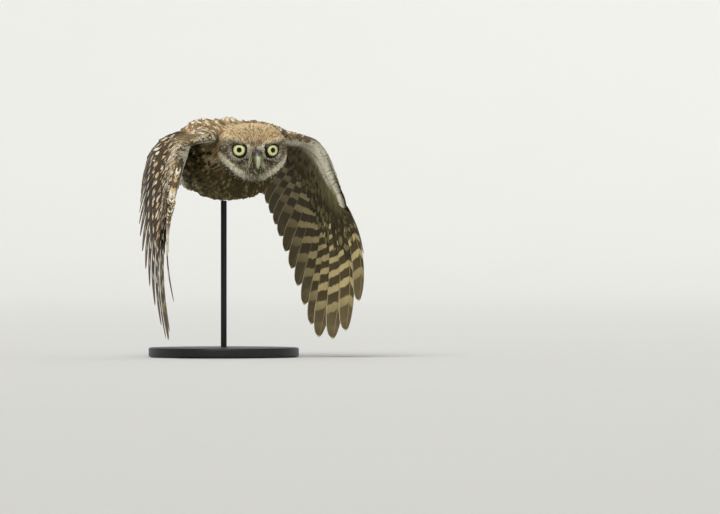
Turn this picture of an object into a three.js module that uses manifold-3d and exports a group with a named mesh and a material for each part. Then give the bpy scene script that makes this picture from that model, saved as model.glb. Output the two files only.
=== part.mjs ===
// A little owl in level flight at the bottom of its wingbeat, life size, on a display stand.
// Millimetres, +Z up. The origin is the centre of the stand's underside. The bird flies towards -Y,
// so its left wing is on +X. The bird's own points are measured from the centre of its head.
import * as THREE from "three";
import { mergeVertices } from "three/addons/utils/BufferGeometryUtils.js";
import Module from "manifold-3d";

const wasm = await Module();
wasm.setup();

// Driving dimensions
const GAP = 0.3; // air between neighbouring pieces
const HEAD_AT = [0, -52, 180]; // centre of the head over the stand
const HEAD_YAW = -13; // the face is turned towards the bird's right, in degrees
const HEAD_SHIFT = 1.2; // and the head leans this far to its left
const EYE_SPACING = 29.5; // between the centres of the two irises
const EYE_RADIUS = 7.6;
const EYE_SPLAY = 17; // each eye looks this far outward, in degrees
const IRIS_RADIUS = 5.9;
const FACE_DEPTH = 20; // from the centre of the head to the plane of the irises
const VANE_THICK = 0.6;
const BASE_RADIUS = 66;
const BASE_THICK = 8;
const BASE_CHAMFER = 1.5;
const ROD_RADIUS = 2.6;
const TAIL_FEATHERS = 12;
const CLAW_LENGTH = 8;
const FINE = 0.08; // detail smaller than this is smoothed off each finished piece

// Stations of the body from the breast to the root of the tail:
// place along Y, half width, height above and depth below the middle line, height of that line
const BODY = [
  [-3, 12, 12, 12, -19],
  [4, 27, 24, 25, -12],
  [18, 35, 31, 34, -8],
  [38, 37, 34, 35, -8],
  [58, 36, 32, 35, -8],
  [78, 31, 26, 30, -8],
  [97, 22, 18, 21, -9],
  [112, 13, 9, 12, -11],
  [120, 8, 5, 6, -12],
];
// Stations of the head from the nape to the front of the face, along its own depth
const HEAD = [
  [-27, 9, 8, 9, 0],
  [-21, 22, 17, 19, 0],
  [-9, 29.5, 23, 25, 0],
  [3, 31.8, 25, 27, 0],
  [11, 31.3, 24, 28.5, 0],
  [15.5, 28.5, 20.5, 26.5, -1],
  [18, 22.5, 15, 22.5, -2.5],
  [19.5, 12, 8, 14.5, -5],
];

// Feathers that carry the shape of the wing, from the body to the leading edge: root, tip, how far
// the shaft bows out and forward, the wing's leading edge there, and how thick the arm is
const WING = [
  { base: [20, 46, 13], tip: [17, 84, 15], bow: 3, sweep: 0, lead: [15, 5, 7], thick: 13 }, // in the body
  { base: [36, 46, 13.5], tip: [29, 90, 14], bow: 3, sweep: 0, lead: [36, -4, 12], thick: 10 }, // tertial
  { base: [49, 45, 10.5], tip: [46, 103, -1], bow: 5, sweep: 0, lead: [51, -6, 10], thick: 9.5 }, // secondary 10
  { base: [55, 29, 10], tip: [54, 101, -20], bow: 8, sweep: 0, lead: [58, -7, 8], thick: 9.5 }, // secondary 7
  { base: [61, 12, 6], tip: [61, 94, -42], bow: 8, sweep: 0, lead: [64, -8, 3.5], thick: 9 }, // secondary 4
  { base: [67, -2, -3], tip: [68, 80, -73], bow: 7, sweep: -3, lead: [69, -10, -6], thick: 8.5 }, // primary 1
  { base: [72, -6, -16], tip: [72, 51, -118], bow: 8, sweep: -4, lead: [74, -12, -18], thick: 7.5 }, // primary 4
  { base: [78, -9, -31], tip: [74, 13, -163], bow: 9, sweep: -2, lead: [79.5, -14, -33], thick: 6 }, // primary 7
  { base: [81, -12, -41], tip: [85, -18, -157], bow: 7, sweep: 2, lead: [82.5, -17, -43], thick: 5 }, // primary 9
  { base: [81.3, -15, -44.5], tip: [89, -35.5, -131], bow: 6.5, sweep: 5, lead: [83, -19, -49], thick: 4 }, // primary 10
];
// Places along the wing, counted in carrying feathers
const ELBOW = 1.66;
const WRIST = 4.86;
const PART_HALF = 0.012; // half of each parting
const PART_CLEAR = 0.02; // what a cut that clears an arm takes beyond its ends
const TERTIALS = [0.75, 1.1, 1.45];
const SECONDARIES = Array.from({ length: 10 }, (_, i) => 1.84 + 0.32 * i);
const PRIMARIES = [5.02, 5.34, 5.67, 6, 6.33, 6.67, 7, 7.5, 8, 9];
const TIP_TAPER = 0.84; // how far the rounding of a tip goes towards a point
const LEAN = 9; // each vane's leading edge is tilted up over its neighbour by this, in degrees

const COLOURS = {
  brown: 0x6b523c,
  crown: 0x8a6a4b,
  pale: 0xd8ccb4,
  bill: 0xb9bd8c,
  eye: 0xd8d36a,
  claw: 0x2e2824,
  stand: 0x2b2d30,
};
const FINISH = Object.fromEntries(
  Object.entries(COLOURS).map(([name, color]) => [
    name,
    new THREE.MeshStandardMaterial({
      color,
      roughness: name === "eye" ? 0.1 : 0.8,
      metalness: name === "stand" ? 0.6 : 0,
    }),
  ]),
);

const point = (a) => new THREE.Vector3(...a);
const rad = THREE.MathUtils.degToRad;

// Catmull-Rom curve through rows of numbers, one row for each whole step of t
function along(rows, t) {
  const i = Math.max(0, Math.min(rows.length - 2, Math.floor(t)));
  const f = t - i;
  const row = (k) => rows[Math.max(0, Math.min(rows.length - 1, k))];
  return rows[i].map((b, n) => {
    const [a, c, d] = [row(i - 1)[n], row(i + 1)[n], row(i + 2)[n]];
    return b + 0.5 * f * (c - a + f * (2 * a - 5 * b + 4 * c - d + f * (3 * (b - c) + d - a)));
  });
}

function indexed(position, index) {
  const geometry = new THREE.BufferGeometry();
  geometry.setAttribute("position", new THREE.Float32BufferAttribute(position, 3));
  geometry.setIndex(index);
  return geometry;
}

// A closed geometry as a solid that can be joined and cut, with its faces turned outwards
function solid(geometry) {
  const bare = new THREE.BufferGeometry()
    .setAttribute("position", geometry.getAttribute("position"))
    .setIndex(geometry.index);
  const merged = mergeVertices(bare, 1e-4);
  const vertProperties = new Float32Array(merged.attributes.position.array);
  const triVerts = new Uint32Array(merged.index.array);
  const made = new wasm.Manifold(new wasm.Mesh({ numProp: 3, vertProperties, triVerts }));
  if (made.volume() > 0) return made;
  for (let i = 0; i < triVerts.length; i += 3)
    [triVerts[i + 1], triVerts[i + 2]] = [triVerts[i + 2], triVerts[i + 1]];
  return new wasm.Manifold(new wasm.Mesh({ numProp: 3, vertProperties, triVerts }));
}

// A solid back as a geometry, mirrored to the bird's right side if asked
function geometryOf(made, mirrored = false) {
  const mesh = made.getMesh();
  const position = new Float32Array(mesh.numVert * 3);
  for (let i = 0; i < mesh.numVert; i++)
    for (let k = 0; k < 3; k++)
      position[i * 3 + k] = mesh.vertProperties[i * mesh.numProp + k] * (mirrored && !k ? -1 : 1);
  const index = [...mesh.triVerts];
  if (mirrored)
    for (let i = 0; i < index.length; i += 3) [index[i], index[i + 1]] = [index[i + 1], index[i]];
  const geometry = indexed(position, index);
  geometry.computeVertexNormals();
  return geometry;
}

const joined = (parts) => parts.reduce((a, b) => a.add(b));

// The largest closed surface of a solid
function largest(made) {
  const pieces = made.simplify(FINE).decompose();
  return pieces.sort((a, b) => b.volume() - a.volume())[0];
}

// A closed body through rings of an even number of points. Each end is closed by strips across it.
function loft(rings) {
  const n = rings[0].length;
  const index = [];
  const quad = (a, b, c, d) => index.push(a, b, c, a, c, d);
  for (let i = 0; i < rings.length - 1; i++)
    for (let j = 0; j < n; j++) {
      const next = (j + 1) % n;
      quad(i * n + j, i * n + next, (i + 1) * n + next, (i + 1) * n + j);
    }
  const last = (rings.length - 1) * n;
  for (let j = 0; j < n / 2 - 1; j++) {
    quad(n - 1 - j, n - 2 - j, j + 1, j);
    quad(last + j, last + j + 1, last + n - 2 - j, last + n - 1 - j);
  }
  return solid(indexed(rings.flat().flatMap((p) => p.toArray()), index));
}

// A ring of points across Y: half width, height above and below its middle line
function ring([y, w, up, down, z], count, square = 2.3) {
  return Array.from({ length: count }, (_, k) => {
    const a = ((k + 0.5) / count) * 2 * Math.PI;
    const bulge = (v) => Math.sign(v) * Math.abs(v) ** (2 / square);
    const rise = bulge(Math.sin(a)) * (Math.sin(a) > 0 ? up : down);
    return new THREE.Vector3(-w * bulge(Math.cos(a)), y, z + rise);
  });
}

// A closed body through stations, grown by some millimetres for the cuts that clear it
function stationBody(stations, grow, rows, count) {
  const sections = Array.from({ length: rows + 1 }, (_, i) => {
    const [y, w, up, down, z] = along(stations, (i / rows) * (stations.length - 1));
    const end = i === 0 ? -grow : i === rows ? grow : 0;
    return ring([y + end, w + grow, up + grow, down + grow, z], count);
  });
  return loft(sections);
}

// A thin closed sheet from rows of points and the normal at each, triangles alike on both faces
function sheet(rows, thick) {
  const [n, m] = [rows.length, rows[0].length];
  const position = [];
  for (const face of [1, -1])
    for (const row of rows)
      for (const p of row) position.push(...p.at.clone().addScaledVector(p.normal, (face * thick) / 2));
  const id = (face, i, j) => face * n * m + i * m + j;
  const index = [];
  const quad = (a, b, c, d) => index.push(a, b, c, a, c, d);
  for (let i = 0; i < n - 1; i++)
    for (let j = 0; j < m - 1; j++) {
      index.push(id(0, i, j), id(0, i, j + 1), id(0, i + 1, j + 1));
      index.push(id(0, i, j), id(0, i + 1, j + 1), id(0, i + 1, j));
      index.push(id(1, i, j), id(1, i + 1, j + 1), id(1, i, j + 1));
      index.push(id(1, i, j), id(1, i + 1, j), id(1, i + 1, j + 1));
    }
  for (let i = 0; i < n - 1; i++) {
    quad(id(0, i, 0), id(0, i + 1, 0), id(1, i + 1, 0), id(1, i, 0));
    quad(id(0, i + 1, m - 1), id(0, i, m - 1), id(1, i, m - 1), id(1, i + 1, m - 1));
  }
  for (let j = 0; j < m - 1; j++) {
    quad(id(0, 0, j + 1), id(0, 0, j), id(1, 0, j), id(1, 0, j + 1));
    quad(id(0, n - 1, j), id(0, n - 1, j + 1), id(1, n - 1, j + 1), id(1, n - 1, j));
  }
  return solid(indexed(position, index));
}

// A tapered tube along points, each with its own radius, for toes, claws and the bill
function taperedTube(points, radii, sides, flat = 1) {
  const curve = new THREE.CatmullRomCurve3(points.map(point));
  const rows = points.length * 2 - 1;
  const sections = Array.from({ length: rows }, (_, i) => {
    const t = i / (rows - 1);
    const at = curve.getPoint(t);
    const ahead = curve.getTangent(t);
    const side = new THREE.Vector3(1, 0, 0).addScaledVector(ahead, -ahead.x).normalize();
    const up = ahead.clone().cross(side);
    const [r] = along(radii.map((v) => [v]), t * (radii.length - 1));
    return Array.from({ length: sides }, (_, k) => {
      const a = (k / sides) * 2 * Math.PI;
      return at
        .clone()
        .addScaledVector(side, Math.cos(a) * r * flat)
        .addScaledVector(up, Math.sin(a) * r);
    });
  });
  return loft(sections);
}

function ellipsoid([x, y, z], [a, b, c], [wide, high] = [14, 10], turn = [0, 0, 0]) {
  const ball = new THREE.SphereGeometry(1, wide, high).scale(a, b, c);
  ball.applyMatrix4(
    new THREE.Matrix4().makeRotationFromEuler(new THREE.Euler(...turn.map(rad))).setPosition(x, y, z),
  );
  return solid(ball);
}

// Head: the face looks along -Y in its own frame, and is then turned
const headFrame = new THREE.Matrix4().makeRotationZ(rad(HEAD_YAW)).setPosition(HEAD_SHIFT, 0, 0);
const facing = (made) => solid(geometryOf(made).applyMatrix4(headFrame));
const eyeSink = Math.sqrt(EYE_RADIUS ** 2 - IRIS_RADIUS ** 2);

// Centre of an eyeball and the way that it looks, in the head's frame
function eyeFrame(side) {
  const look = new THREE.Vector3(side * Math.sin(rad(EYE_SPLAY)), -Math.cos(rad(EYE_SPLAY)), 0);
  const iris = new THREE.Vector3((side * EYE_SPACING) / 2, -FACE_DEPTH, 0);
  return { look, centre: iris.clone().addScaledVector(look, -eyeSink) };
}

function eyeball(side, grow) {
  const { centre } = eyeFrame(side);
  return ellipsoid(centre.toArray(), [1, 1, 1].map(() => EYE_RADIUS + grow), [14, 10]);
}

// The rim of the lids, a ring round the iris
function lids(side) {
  const { look, centre } = eyeFrame(side);
  const ringShape = new THREE.TorusGeometry(IRIS_RADIUS + 1.1, 1.5, 5, 14);
  const turn = new THREE.Matrix4().lookAt(look, new THREE.Vector3(), new THREE.Vector3(0, 0, 1));
  const at = centre.clone().addScaledVector(look, eyeSink - 0.6);
  return solid(ringShape.applyMatrix4(turn.setPosition(at)));
}

function headSolid(grow) {
  const stations = HEAD.map(([d, ...rest]) => [-d, ...rest]);
  const parts = [stationBody(stations, grow, 10, 18)];
  for (const side of [-1, 1]) {
    // the brow, a ridge from the root of the bill up and out over the eye
    const brow = [11.5 + grow, 5.5 + grow, 3.2 + grow];
    parts.push(ellipsoid([side * 14, -17.5, 7.6], brow, [10, 6], [0, side * -17, side * -14]));
  }
  return joined(parts);
}

// The bill: an upper half with the cere's two swollen nostrils, each with its pit, over a lower one
const UPPER_BILL = [[0, -18, -1.5], [0, -25.5, -3.5], [0, -28.8, -9.5], [0, -27.8, -17]];
const LOWER_BILL = [[0, -18, -9.5], [0, -23, -11.5], [0, -25, -14]];

function billSolid(upper, grow) {
  if (!upper) return taperedTube(LOWER_BILL, [3.2 + grow, 2.4 + grow, 0.9 + grow], 8, 1.1);
  const parts = [taperedTube(UPPER_BILL, [5 + grow, 4.2 + grow, 2.9 + grow, 0.7 + grow], 10, 0.82)];
  const swelling = [2.2, 2, 1.9].map((r) => r + grow);
  for (const side of [-1, 1]) parts.push(ellipsoid([side * 2.5, -25.4, -1.4], swelling, [8, 6]));
  const bill = joined(parts);
  if (grow) return bill;
  const pits = [-1, 1].map((side) => ellipsoid([side * 3.4, -27.2, -1.7], [0.8, 0.8, 0.7], [6, 4]));
  return bill.subtract(joined(pits));
}

// Planes that part head, neck and torso, as a normal and its offset
const partNormal = new THREE.Vector3(0, 0.86, -0.51).normalize();
const HEAD_PLANE = 9;
const NECK_PLANE = 22;
const trim = (made, sign, offset) =>
  made.trimByPlane(partNormal.clone().multiplyScalar(sign).toArray(), sign * offset);

const bodyWhole = stationBody(BODY, 0, 12, 20);
const bodyGrown = stationBody(BODY, GAP, 12, 20);
const headWhole = facing(headSolid(0));
const headGrown = facing(headSolid(GAP));
const eyesGrown = facing(joined([-1, 1].map((side) => eyeball(side, GAP))));
const upperGrown = facing(billSolid(true, GAP));
const lowerGrown = facing(billSolid(false, GAP));
const lidRims = facing(joined([-1, 1].map(lids)));

const front = trim(headWhole.add(bodyWhole), -1, HEAD_PLANE);
const head = largest(front.add(lidRims).subtract(eyesGrown).subtract(upperGrown).subtract(lowerGrown));
const neck = largest(
  trim(trim(headWhole.add(bodyWhole), 1, HEAD_PLANE + GAP), -1, NECK_PLANE),
);
const wholeGrown = joined([headGrown, headGrown.mirror([1, 0, 0]), bodyGrown]);

// A point of the wing's surface: q counts the carrying feathers, r runs from root to tip
const wingBases = WING.map((f) => f.base);
const wingTips = WING.map((f) => f.tip);
const wingBows = WING.map((f) => [f.bow, f.sweep]);
const wingLead = (q) => point(along(WING.map((f) => f.lead), q));

function shaftFrame(q) {
  const base = point(along(wingBases, q));
  const tip = point(along(wingTips, q));
  const [q0, q1] = [Math.max(0, q - 0.05), Math.min(WING.length - 1, Math.max(q, 0) + 0.05)];
  const middle = (k) => point(along(wingBases, k)).add(point(along(wingTips, k)));
  const ahead = tip.clone().sub(base).normalize();
  const out = middle(q1).sub(middle(q0)).cross(ahead).normalize();
  return { base, tip, out, lead: ahead.cross(out) };
}

function wingPoint(q, r) {
  const { base, tip, out, lead } = shaftFrame(q);
  const [bow, sweep] = along(wingBows, q);
  const arch = 4 * r * (1 - r);
  return base.lerp(tip, r).addScaledVector(out, bow * arch).addScaledVector(lead, sweep * arch);
}

const LONG_STEPS = [0, 0.3, 0.68, 0.92, 1];
const SHORT_STEPS = [0, 0.35, 0.8, 1];

// A vane along a line from r0 to r1, with the line's upper side given. It is narrow at the root,
// rounded at the tip, and leans so that its leading edge is the higher one.
function vane({ line, out, wide, grow = 0, ...more }) {
  const shape = { r0: 0, r1: 1, lead: 0.5, off: 0, lean: LEAN, steps: LONG_STEPS, round: 0.3, ...more };
  const { r0, r1, lead, off, lean, steps, round } = shape;
  const tilt = (a, b) => a.clone().multiplyScalar(Math.cos(rad(lean))).addScaledVector(b, Math.sin(rad(lean)));
  const rows = steps.map((t) => {
    const r = r0 + (r1 - r0) * t;
    const ahead = line(r + 0.01).sub(line(r - 0.01)).normalize();
    const side = ahead.clone().cross(out).normalize();
    const up = side.clone().cross(ahead);
    const blade = tilt(side, up);
    const normal = tilt(up, side.clone().negate());
    const tip = Math.max(0, (t - 1 + round) / round);
    const full = wide * Math.min(1, 0.4 + t * 2.4) * Math.sqrt(1 - TIP_TAPER * tip * tip);
    const width = Math.max(1.2, full) + 2 * grow;
    const middle = line(r).addScaledVector(up, off).addScaledVector(ahead, t === 1 ? grow : 0);
    return [lead - 1, lead].map((share) => ({
      at: middle.clone().addScaledVector(blade, share * width),
      normal,
    }));
  });
  return sheet(rows, VANE_THICK + 2 * grow);
}

function wingVane(q, more) {
  return vane({ line: (r) => wingPoint(q, r), out: shaftFrame(q).out, lead: 0.4, ...more });
}

// A great covert, rooted in the arm ahead of its flight feather and lying over it
function covert(q, grow) {
  const { base, out } = shaftFrame(q);
  const root = base.clone().lerp(wingLead(q), 0.35);
  const tip = wingPoint(q, 0.5 - 0.018 * q).addScaledVector(out, 4);
  const line = (r) => root.clone().lerp(tip, r).addScaledVector(out, 12 * r * (1 - r));
  return vane({ line, out, wide: 15, lead: 0.55, lean: LEAN * 1.3, steps: SHORT_STEPS, grow });
}

// The tiers of feathers on a stretch of the wing: flight feathers, and a great covert over every two
function wingTiers(feathers, flight, grow) {
  const lower = feathers.map((q) => wingVane(q, { r0: -0.02, ...flight(q), grow }));
  const upper = feathers.filter((_, i) => i % 2 === 0).map((q) => covert(q, grow));
  return [...lower, ...upper];
}

const secondary = () => ({ wide: 18 });
const primary = (q) => {
  const outer = Math.max(0, q - 6.8);
  return { wide: 19 - outer * 2.6, lead: 0.38 - outer * 0.05 };
};

// A closed ring of points round the arm, from its leading edge past the feathers' roots
const RING_SHARES = [0, 0.12, 0.5, 1];
const RING_FULLNESS = [0.3, 0.75, 1, 0.6];
const RING_REAR = 0.16; // the rear edge of the arm, as a share of each feather's length
const REAR_FULLNESS = 0.16;

function armRing(q, grow) {
  const { base, out } = shaftFrame(q);
  const lead = wingLead(q);
  const [thick] = along(WING.map((f) => [f.thick]), q);
  const middle = RING_SHARES.map((share) => lead.clone().lerp(base, share));
  middle.push(wingPoint(q, RING_REAR));
  const fullness = [...RING_FULLNESS, REAR_FULLNESS];
  middle[0].addScaledVector(base.clone().sub(lead).normalize(), -grow);
  middle.at(-1).addScaledVector(wingPoint(q, 0.3).sub(wingPoint(q, 0.1)).normalize(), grow);
  const face = (sign) =>
    middle.map((p, i) => p.clone().addScaledVector(out, sign * ((fullness[i] * thick) / 2 + grow)));
  return [...face(1), ...face(-1).reverse()];
}

function armCore(from, to, grow = 0) {
  const rows = Math.max(3, Math.round((to - from) * 1.6));
  const [start, end] = grow ? [from - PART_CLEAR, to + PART_CLEAR] : [from, to];
  return loft(Array.from({ length: rows + 1 }, (_, i) => armRing(start + ((end - start) * i) / rows, grow)));
}

// Scapulars, which lie back over the shoulder
function scapulars() {
  return Array.from({ length: 4 }, (_, i) => {
    const base = point([24 + 5.4 * i, 8, 14.4 - 0.2 * i]);
    const tip = point([22 + 6 * i, 56 - 3 * i, 25.6 - 2 * i]);
    const out = new THREE.Vector3(0.25 + 0.08 * i, 0, 1).normalize();
    const line = (r) => base.clone().lerp(tip, r).addScaledVector(out, 26 * r * (1 - r));
    return vane({ line, out, wide: 12, lean: 14, steps: SHORT_STEPS });
  });
}

function wing() {
  const [armEnd, foreStart] = [ELBOW - PART_HALF, ELBOW + PART_HALF];
  const [foreEnd, handStart] = [WRIST - PART_HALF, WRIST + PART_HALF];
  const last = WING.length - 1;
  const armVanes = (grow) => wingTiers(TERTIALS, () => ({ wide: 16 }), grow);
  const handVanes = (grow, count = PRIMARIES.length) => wingTiers(PRIMARIES.slice(0, count), primary, grow);
  const armGrown = armCore(0, armEnd, GAP);
  const foreGrown = armCore(foreStart, foreEnd, GAP);
  const handGrown = armCore(handStart, last, GAP);
  const arm = joined([armCore(0, armEnd), ...armVanes(0), ...scapulars()])
    .subtract(wholeGrown)
    .subtract(foreGrown);
  const fore = joined([armCore(foreStart, foreEnd), ...wingTiers(SECONDARIES, secondary, 0)])
    .subtract(wholeGrown)
    .subtract(joined([armGrown, ...armVanes(GAP)]))
    .subtract(joined([handGrown, ...handVanes(GAP, 3)]));
  const hand = joined([armCore(handStart, last), ...handVanes(0)]).subtract(foreGrown);
  return { arm: largest(arm), forearm: largest(fore), hand: largest(hand) };
}

// The tail: a stack of feathers on each side, the middle pair uppermost
function tail() {
  const parts = [ellipsoid([0, 121, -12], [9, 12, 6.5], [10, 8])];
  for (const side of [-1, 1])
    for (let k = 0; k < TAIL_FEATHERS / 2; k++) {
      const drop = 0.95 * k + (side > 0 ? 0 : 0.48);
      const base = point([side * (1 + 0.8 * k), 116, -9.5 - drop]);
      const tip = point([side * (2 + 2.5 * k), 181 - 0.8 * k, -15.5 - drop]);
      const out = new THREE.Vector3(0, 0.1, 1).normalize();
      const line = (r) => base.clone().lerp(tip, r).addScaledVector(out, 8 * r * (1 - r));
      parts.push(vane({ line, out, wide: 14, lead: 0.5 - side * 0.1, lean: 0, round: 0.16 }));
      if (k < 3) {
        const cover = { line, out, r1: 0.4 - 0.04 * k, wide: 13, lean: 0, steps: SHORT_STEPS };
        parts.push(vane({ ...cover, off: 1.4 + 0.2 * k }));
      }
    }
  return largest(joined(parts).subtract(bodyGrown));
}

// A leg folded back along the belly, with its closed foot under the tail
const LEG = [[12, 68, -24], [12, 90, -25.5], [9.5, 113, -21.5], [9, 125, -20.8]];
const TOES = [
  [[8, 123.6, -21], [4.5, 131, -22.3], [4, 136, -25.3]],
  [[9, 124.3, -20.6], [9, 133, -22.3], [9, 139, -25.8]],
  [[10.2, 123.8, -21.2], [13, 131, -22.3], [14, 136, -25.3]],
  [[9.4, 123.2, -20.2], [9.5, 124, -24.3], [9.5, 128, -27.3]],
];

function leg() {
  const limb = taperedTube(LEG, [7.5, 8.5, 5, 4], 10);
  const toes = (grow) =>
    joined(TOES.map((p) => taperedTube(p, [3.2 + grow, 2.7 + grow, 2.2 + grow], 6)));
  const claws = (grow) =>
    TOES.map(([, knuckle, end]) => {
      const ahead = point(end).sub(point(knuckle)).normalize();
      const start = point(end).addScaledVector(ahead, -1.2);
      const middle = point(end).addScaledVector(ahead, CLAW_LENGTH * 0.45);
      const tip = middle.clone().add(new THREE.Vector3(0, -1.4, -CLAW_LENGTH * 0.5));
      const line = [start, middle, tip].map((p) => p.toArray());
      return taperedTube(line, [1.3 + grow, 1.1 + grow, 0.35 + grow], 6);
    });
  return {
    leg: largest(limb.subtract(bodyGrown).subtract(toes(GAP))),
    foot: largest(toes(0).subtract(joined(claws(GAP))).subtract(bodyGrown)),
    claws: claws(0),
  };
}

function standBase() {
  const [r, h, c] = [BASE_RADIUS, BASE_THICK, BASE_CHAMFER];
  const outline = [[0, 0], [r, 0], [r, h - c], [r - c, h], [0, h]].map((p) => new THREE.Vector2(...p));
  return new THREE.LatheGeometry(outline, 32).rotateX(Math.PI / 2);
}

// The rod stands on the base and meets the belly, in the bird's frame
function standRod() {
  const foot = BASE_THICK + GAP - HEAD_AT[2];
  const top = -30;
  const rod = new THREE.CylinderGeometry(ROD_RADIUS, ROD_RADIUS, top - foot, 16);
  rod.rotateX(Math.PI / 2).translate(0, -HEAD_AT[1], (top + foot) / 2);
  return largest(solid(rod).subtract(bodyGrown));
}

const owl = new THREE.Group();
const bird = new THREE.Group();
bird.position.set(...HEAD_AT);
owl.add(bird);

function node(name, made, finish, mirrored = false, group = bird) {
  const geometry = made.isBufferGeometry ? made : geometryOf(made, mirrored);
  const mesh = new THREE.Mesh(geometry, FINISH[finish]);
  mesh.name = name;
  group.add(mesh);
}

const tailSolid = tail();
node("head", head, "crown");
node("neck", neck, "brown");
node("bill_upper", facing(billSolid(true, 0)), "bill");
node("bill_lower", facing(billSolid(false, 0).subtract(billSolid(true, GAP))), "bill");
node("eye_left", facing(eyeball(1, 0)), "eye");
node("eye_right", facing(eyeball(-1, 0)), "eye");
node("torso", largest(trim(bodyWhole, 1, NECK_PLANE + GAP)), "brown");
node("tail", tailSolid, "brown");
const wingParts = wing();
const legParts = leg();
for (const [side, mirrored] of [["left", false], ["right", true]]) {
  for (const [name, made] of Object.entries(wingParts)) node(`wing_${side}_${name}`, made, "brown", mirrored);
  node(`leg_${side}`, legParts.leg, "pale", mirrored);
  node(`foot_${side}`, legParts.foot, "pale", mirrored);
  legParts.claws.forEach((made, i) => node(`claw_${side}_${i + 1}`, made, "claw", mirrored));
}
node("stand_base", standBase(), "stand", false, owl);
node("stand_rod", standRod(), "stand");

export default owl;
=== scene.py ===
# Dresses the frame of a little owl in level flight: skin, feathers, eyes, bill, claws, stand.
# The bird's own points are in millimetres from the centre of its head, +X its left, -Y ahead.
import math

import bpy
import numpy as np
from mathutils import Matrix, Vector
from mathutils.bvhtree import BVHTree


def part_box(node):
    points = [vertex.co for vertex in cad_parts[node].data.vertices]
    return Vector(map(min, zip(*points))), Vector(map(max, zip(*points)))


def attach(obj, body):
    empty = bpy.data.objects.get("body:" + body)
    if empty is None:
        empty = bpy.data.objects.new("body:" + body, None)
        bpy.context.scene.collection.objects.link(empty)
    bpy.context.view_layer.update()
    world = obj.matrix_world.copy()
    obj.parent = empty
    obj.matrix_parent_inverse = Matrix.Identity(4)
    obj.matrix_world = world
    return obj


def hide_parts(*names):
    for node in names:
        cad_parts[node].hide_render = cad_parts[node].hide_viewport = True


bl_info = {
    "name": "Little Owl in Flight",
    "version": (1, 0, 0),
    "blender": (4, 5, 0),
    "location": "View3D > Sidebar > Owl",
    "description": "Builds the skin, feathers, eyes, bill, claws and stand of a life-size little owl",
    "category": "Object",
}

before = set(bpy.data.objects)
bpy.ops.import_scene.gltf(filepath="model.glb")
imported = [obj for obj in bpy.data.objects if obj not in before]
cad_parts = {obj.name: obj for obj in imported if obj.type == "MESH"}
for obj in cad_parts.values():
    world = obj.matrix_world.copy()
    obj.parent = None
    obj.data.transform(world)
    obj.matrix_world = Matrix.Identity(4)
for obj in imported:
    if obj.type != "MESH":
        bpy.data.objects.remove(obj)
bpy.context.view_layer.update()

MM = 0.001
SIDES = ((1, "left"), (-1, "right"))

# The head: its centre over the stand, its turn and its shift to the left; the eyes: how far apart,
# how far ahead of that centre, and how far each looks aside
HEAD_AT = np.array([0.0, -52.0, 180.0])
HEAD_YAW = math.radians(-13)
HEAD_SHIFT = 1.2
EYE_SPACING = 29.5
FACE_DEPTH = 20
EYE_SPLAY = math.radians(17)

# Stations of the body: place along Y, half width, height above, depth below, middle line
BODY = [
    (-3, 12, 12, 12, -19),
    (4, 27, 24, 25, -12),
    (18, 35, 32, 34, -8),
    (38, 37, 36, 35, -8),
    (58, 36, 34, 35, -8),
    (78, 31, 27, 30, -8),
    (97, 22, 18, 21, -9),
    (112, 13, 9, 12, -11),
    (120, 8, 5, 6, -12),
]
# Stations of the head along its own depth, from the nape to the face
HEAD = [
    (27, 9, 8, 9, 0),
    (21, 22, 17, 19, 0),
    (9, 29.5, 23, 25, 0),
    (-3, 31.8, 25, 27, 0),
    (-11, 31.3, 24, 28.5, 0),
    (-15.5, 28.5, 20.5, 26.5, -1),
    (-18, 22.5, 15, 22.5, -2.5),
    (-19.5, 12, 8, 14.5, -5),
]
# Ten stations of the wing, from the body out: root and tip of the quill there, bow and sweep of its
# shaft, the wing's leading edge and the thickness of its arm
WING_BASE = [
    (20, 46, 13), (36, 46, 13.5), (49, 45, 10.5), (55, 29, 10), (61, 12, 6),
    (67, -2, -3), (72, -6, -16), (78, -9, -31), (81, -12, -41), (81.3, -15, -44.5),
]
WING_TIP = [
    (17, 84, 15), (29, 90, 14), (46, 103, -1), (54, 101, -20), (61, 94, -42),
    (68, 80, -73), (72, 51, -118), (74, 13, -163), (85, -18, -157), (89, -35.5, -131),
]
WING_BOW = [
    (3, 0), (3, 0), (5, 0), (8, 0), (8, 0), (7, -3), (8, -4), (9, -2), (7, 2), (6.5, 5),
]
WING_LEAD = [
    (15, 5, 7), (36, -4, 12), (51, -6, 10), (58, -7, 8), (64, -8, 3.5),
    (69, -10, -6), (74, -12, -18), (79.5, -14, -33), (82.5, -17, -43), (83, -19, -49),
]
WING_THICK = [(13,), (10,), (9.5,), (9.5,), (9,), (8.5,), (7.5,), (6,), (5,), (4,)]
# Share of the arm's chord that its round front takes, and how full the wing is for its thickness:
# over the arm's chord, and on along the quills
NOSE = 0.12
ARM_CHORD, ARM_FULLNESS = (0, NOSE, 0.5, 1), (0.75, 0.75, 1, 0.6)
QUILL_REACH, QUILL_FULLNESS = (0, 0.16, 0.24), (0.6, 0.16, 0)
PAST_TIP = 1.02

# Places of the quills, counted along the wing's stations, and how far each vane leans on the next
TERTIALS = np.array([0.75, 1.1, 1.45])
SECONDARIES = 1.84 + 0.32 * np.arange(10)
PRIMARIES = np.array([5.02, 5.34, 5.67, 6, 6.33, 6.67, 7, 7.5, 8, 9])
LAST_QUILL = 9
LEAN = math.radians(9)

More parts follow.
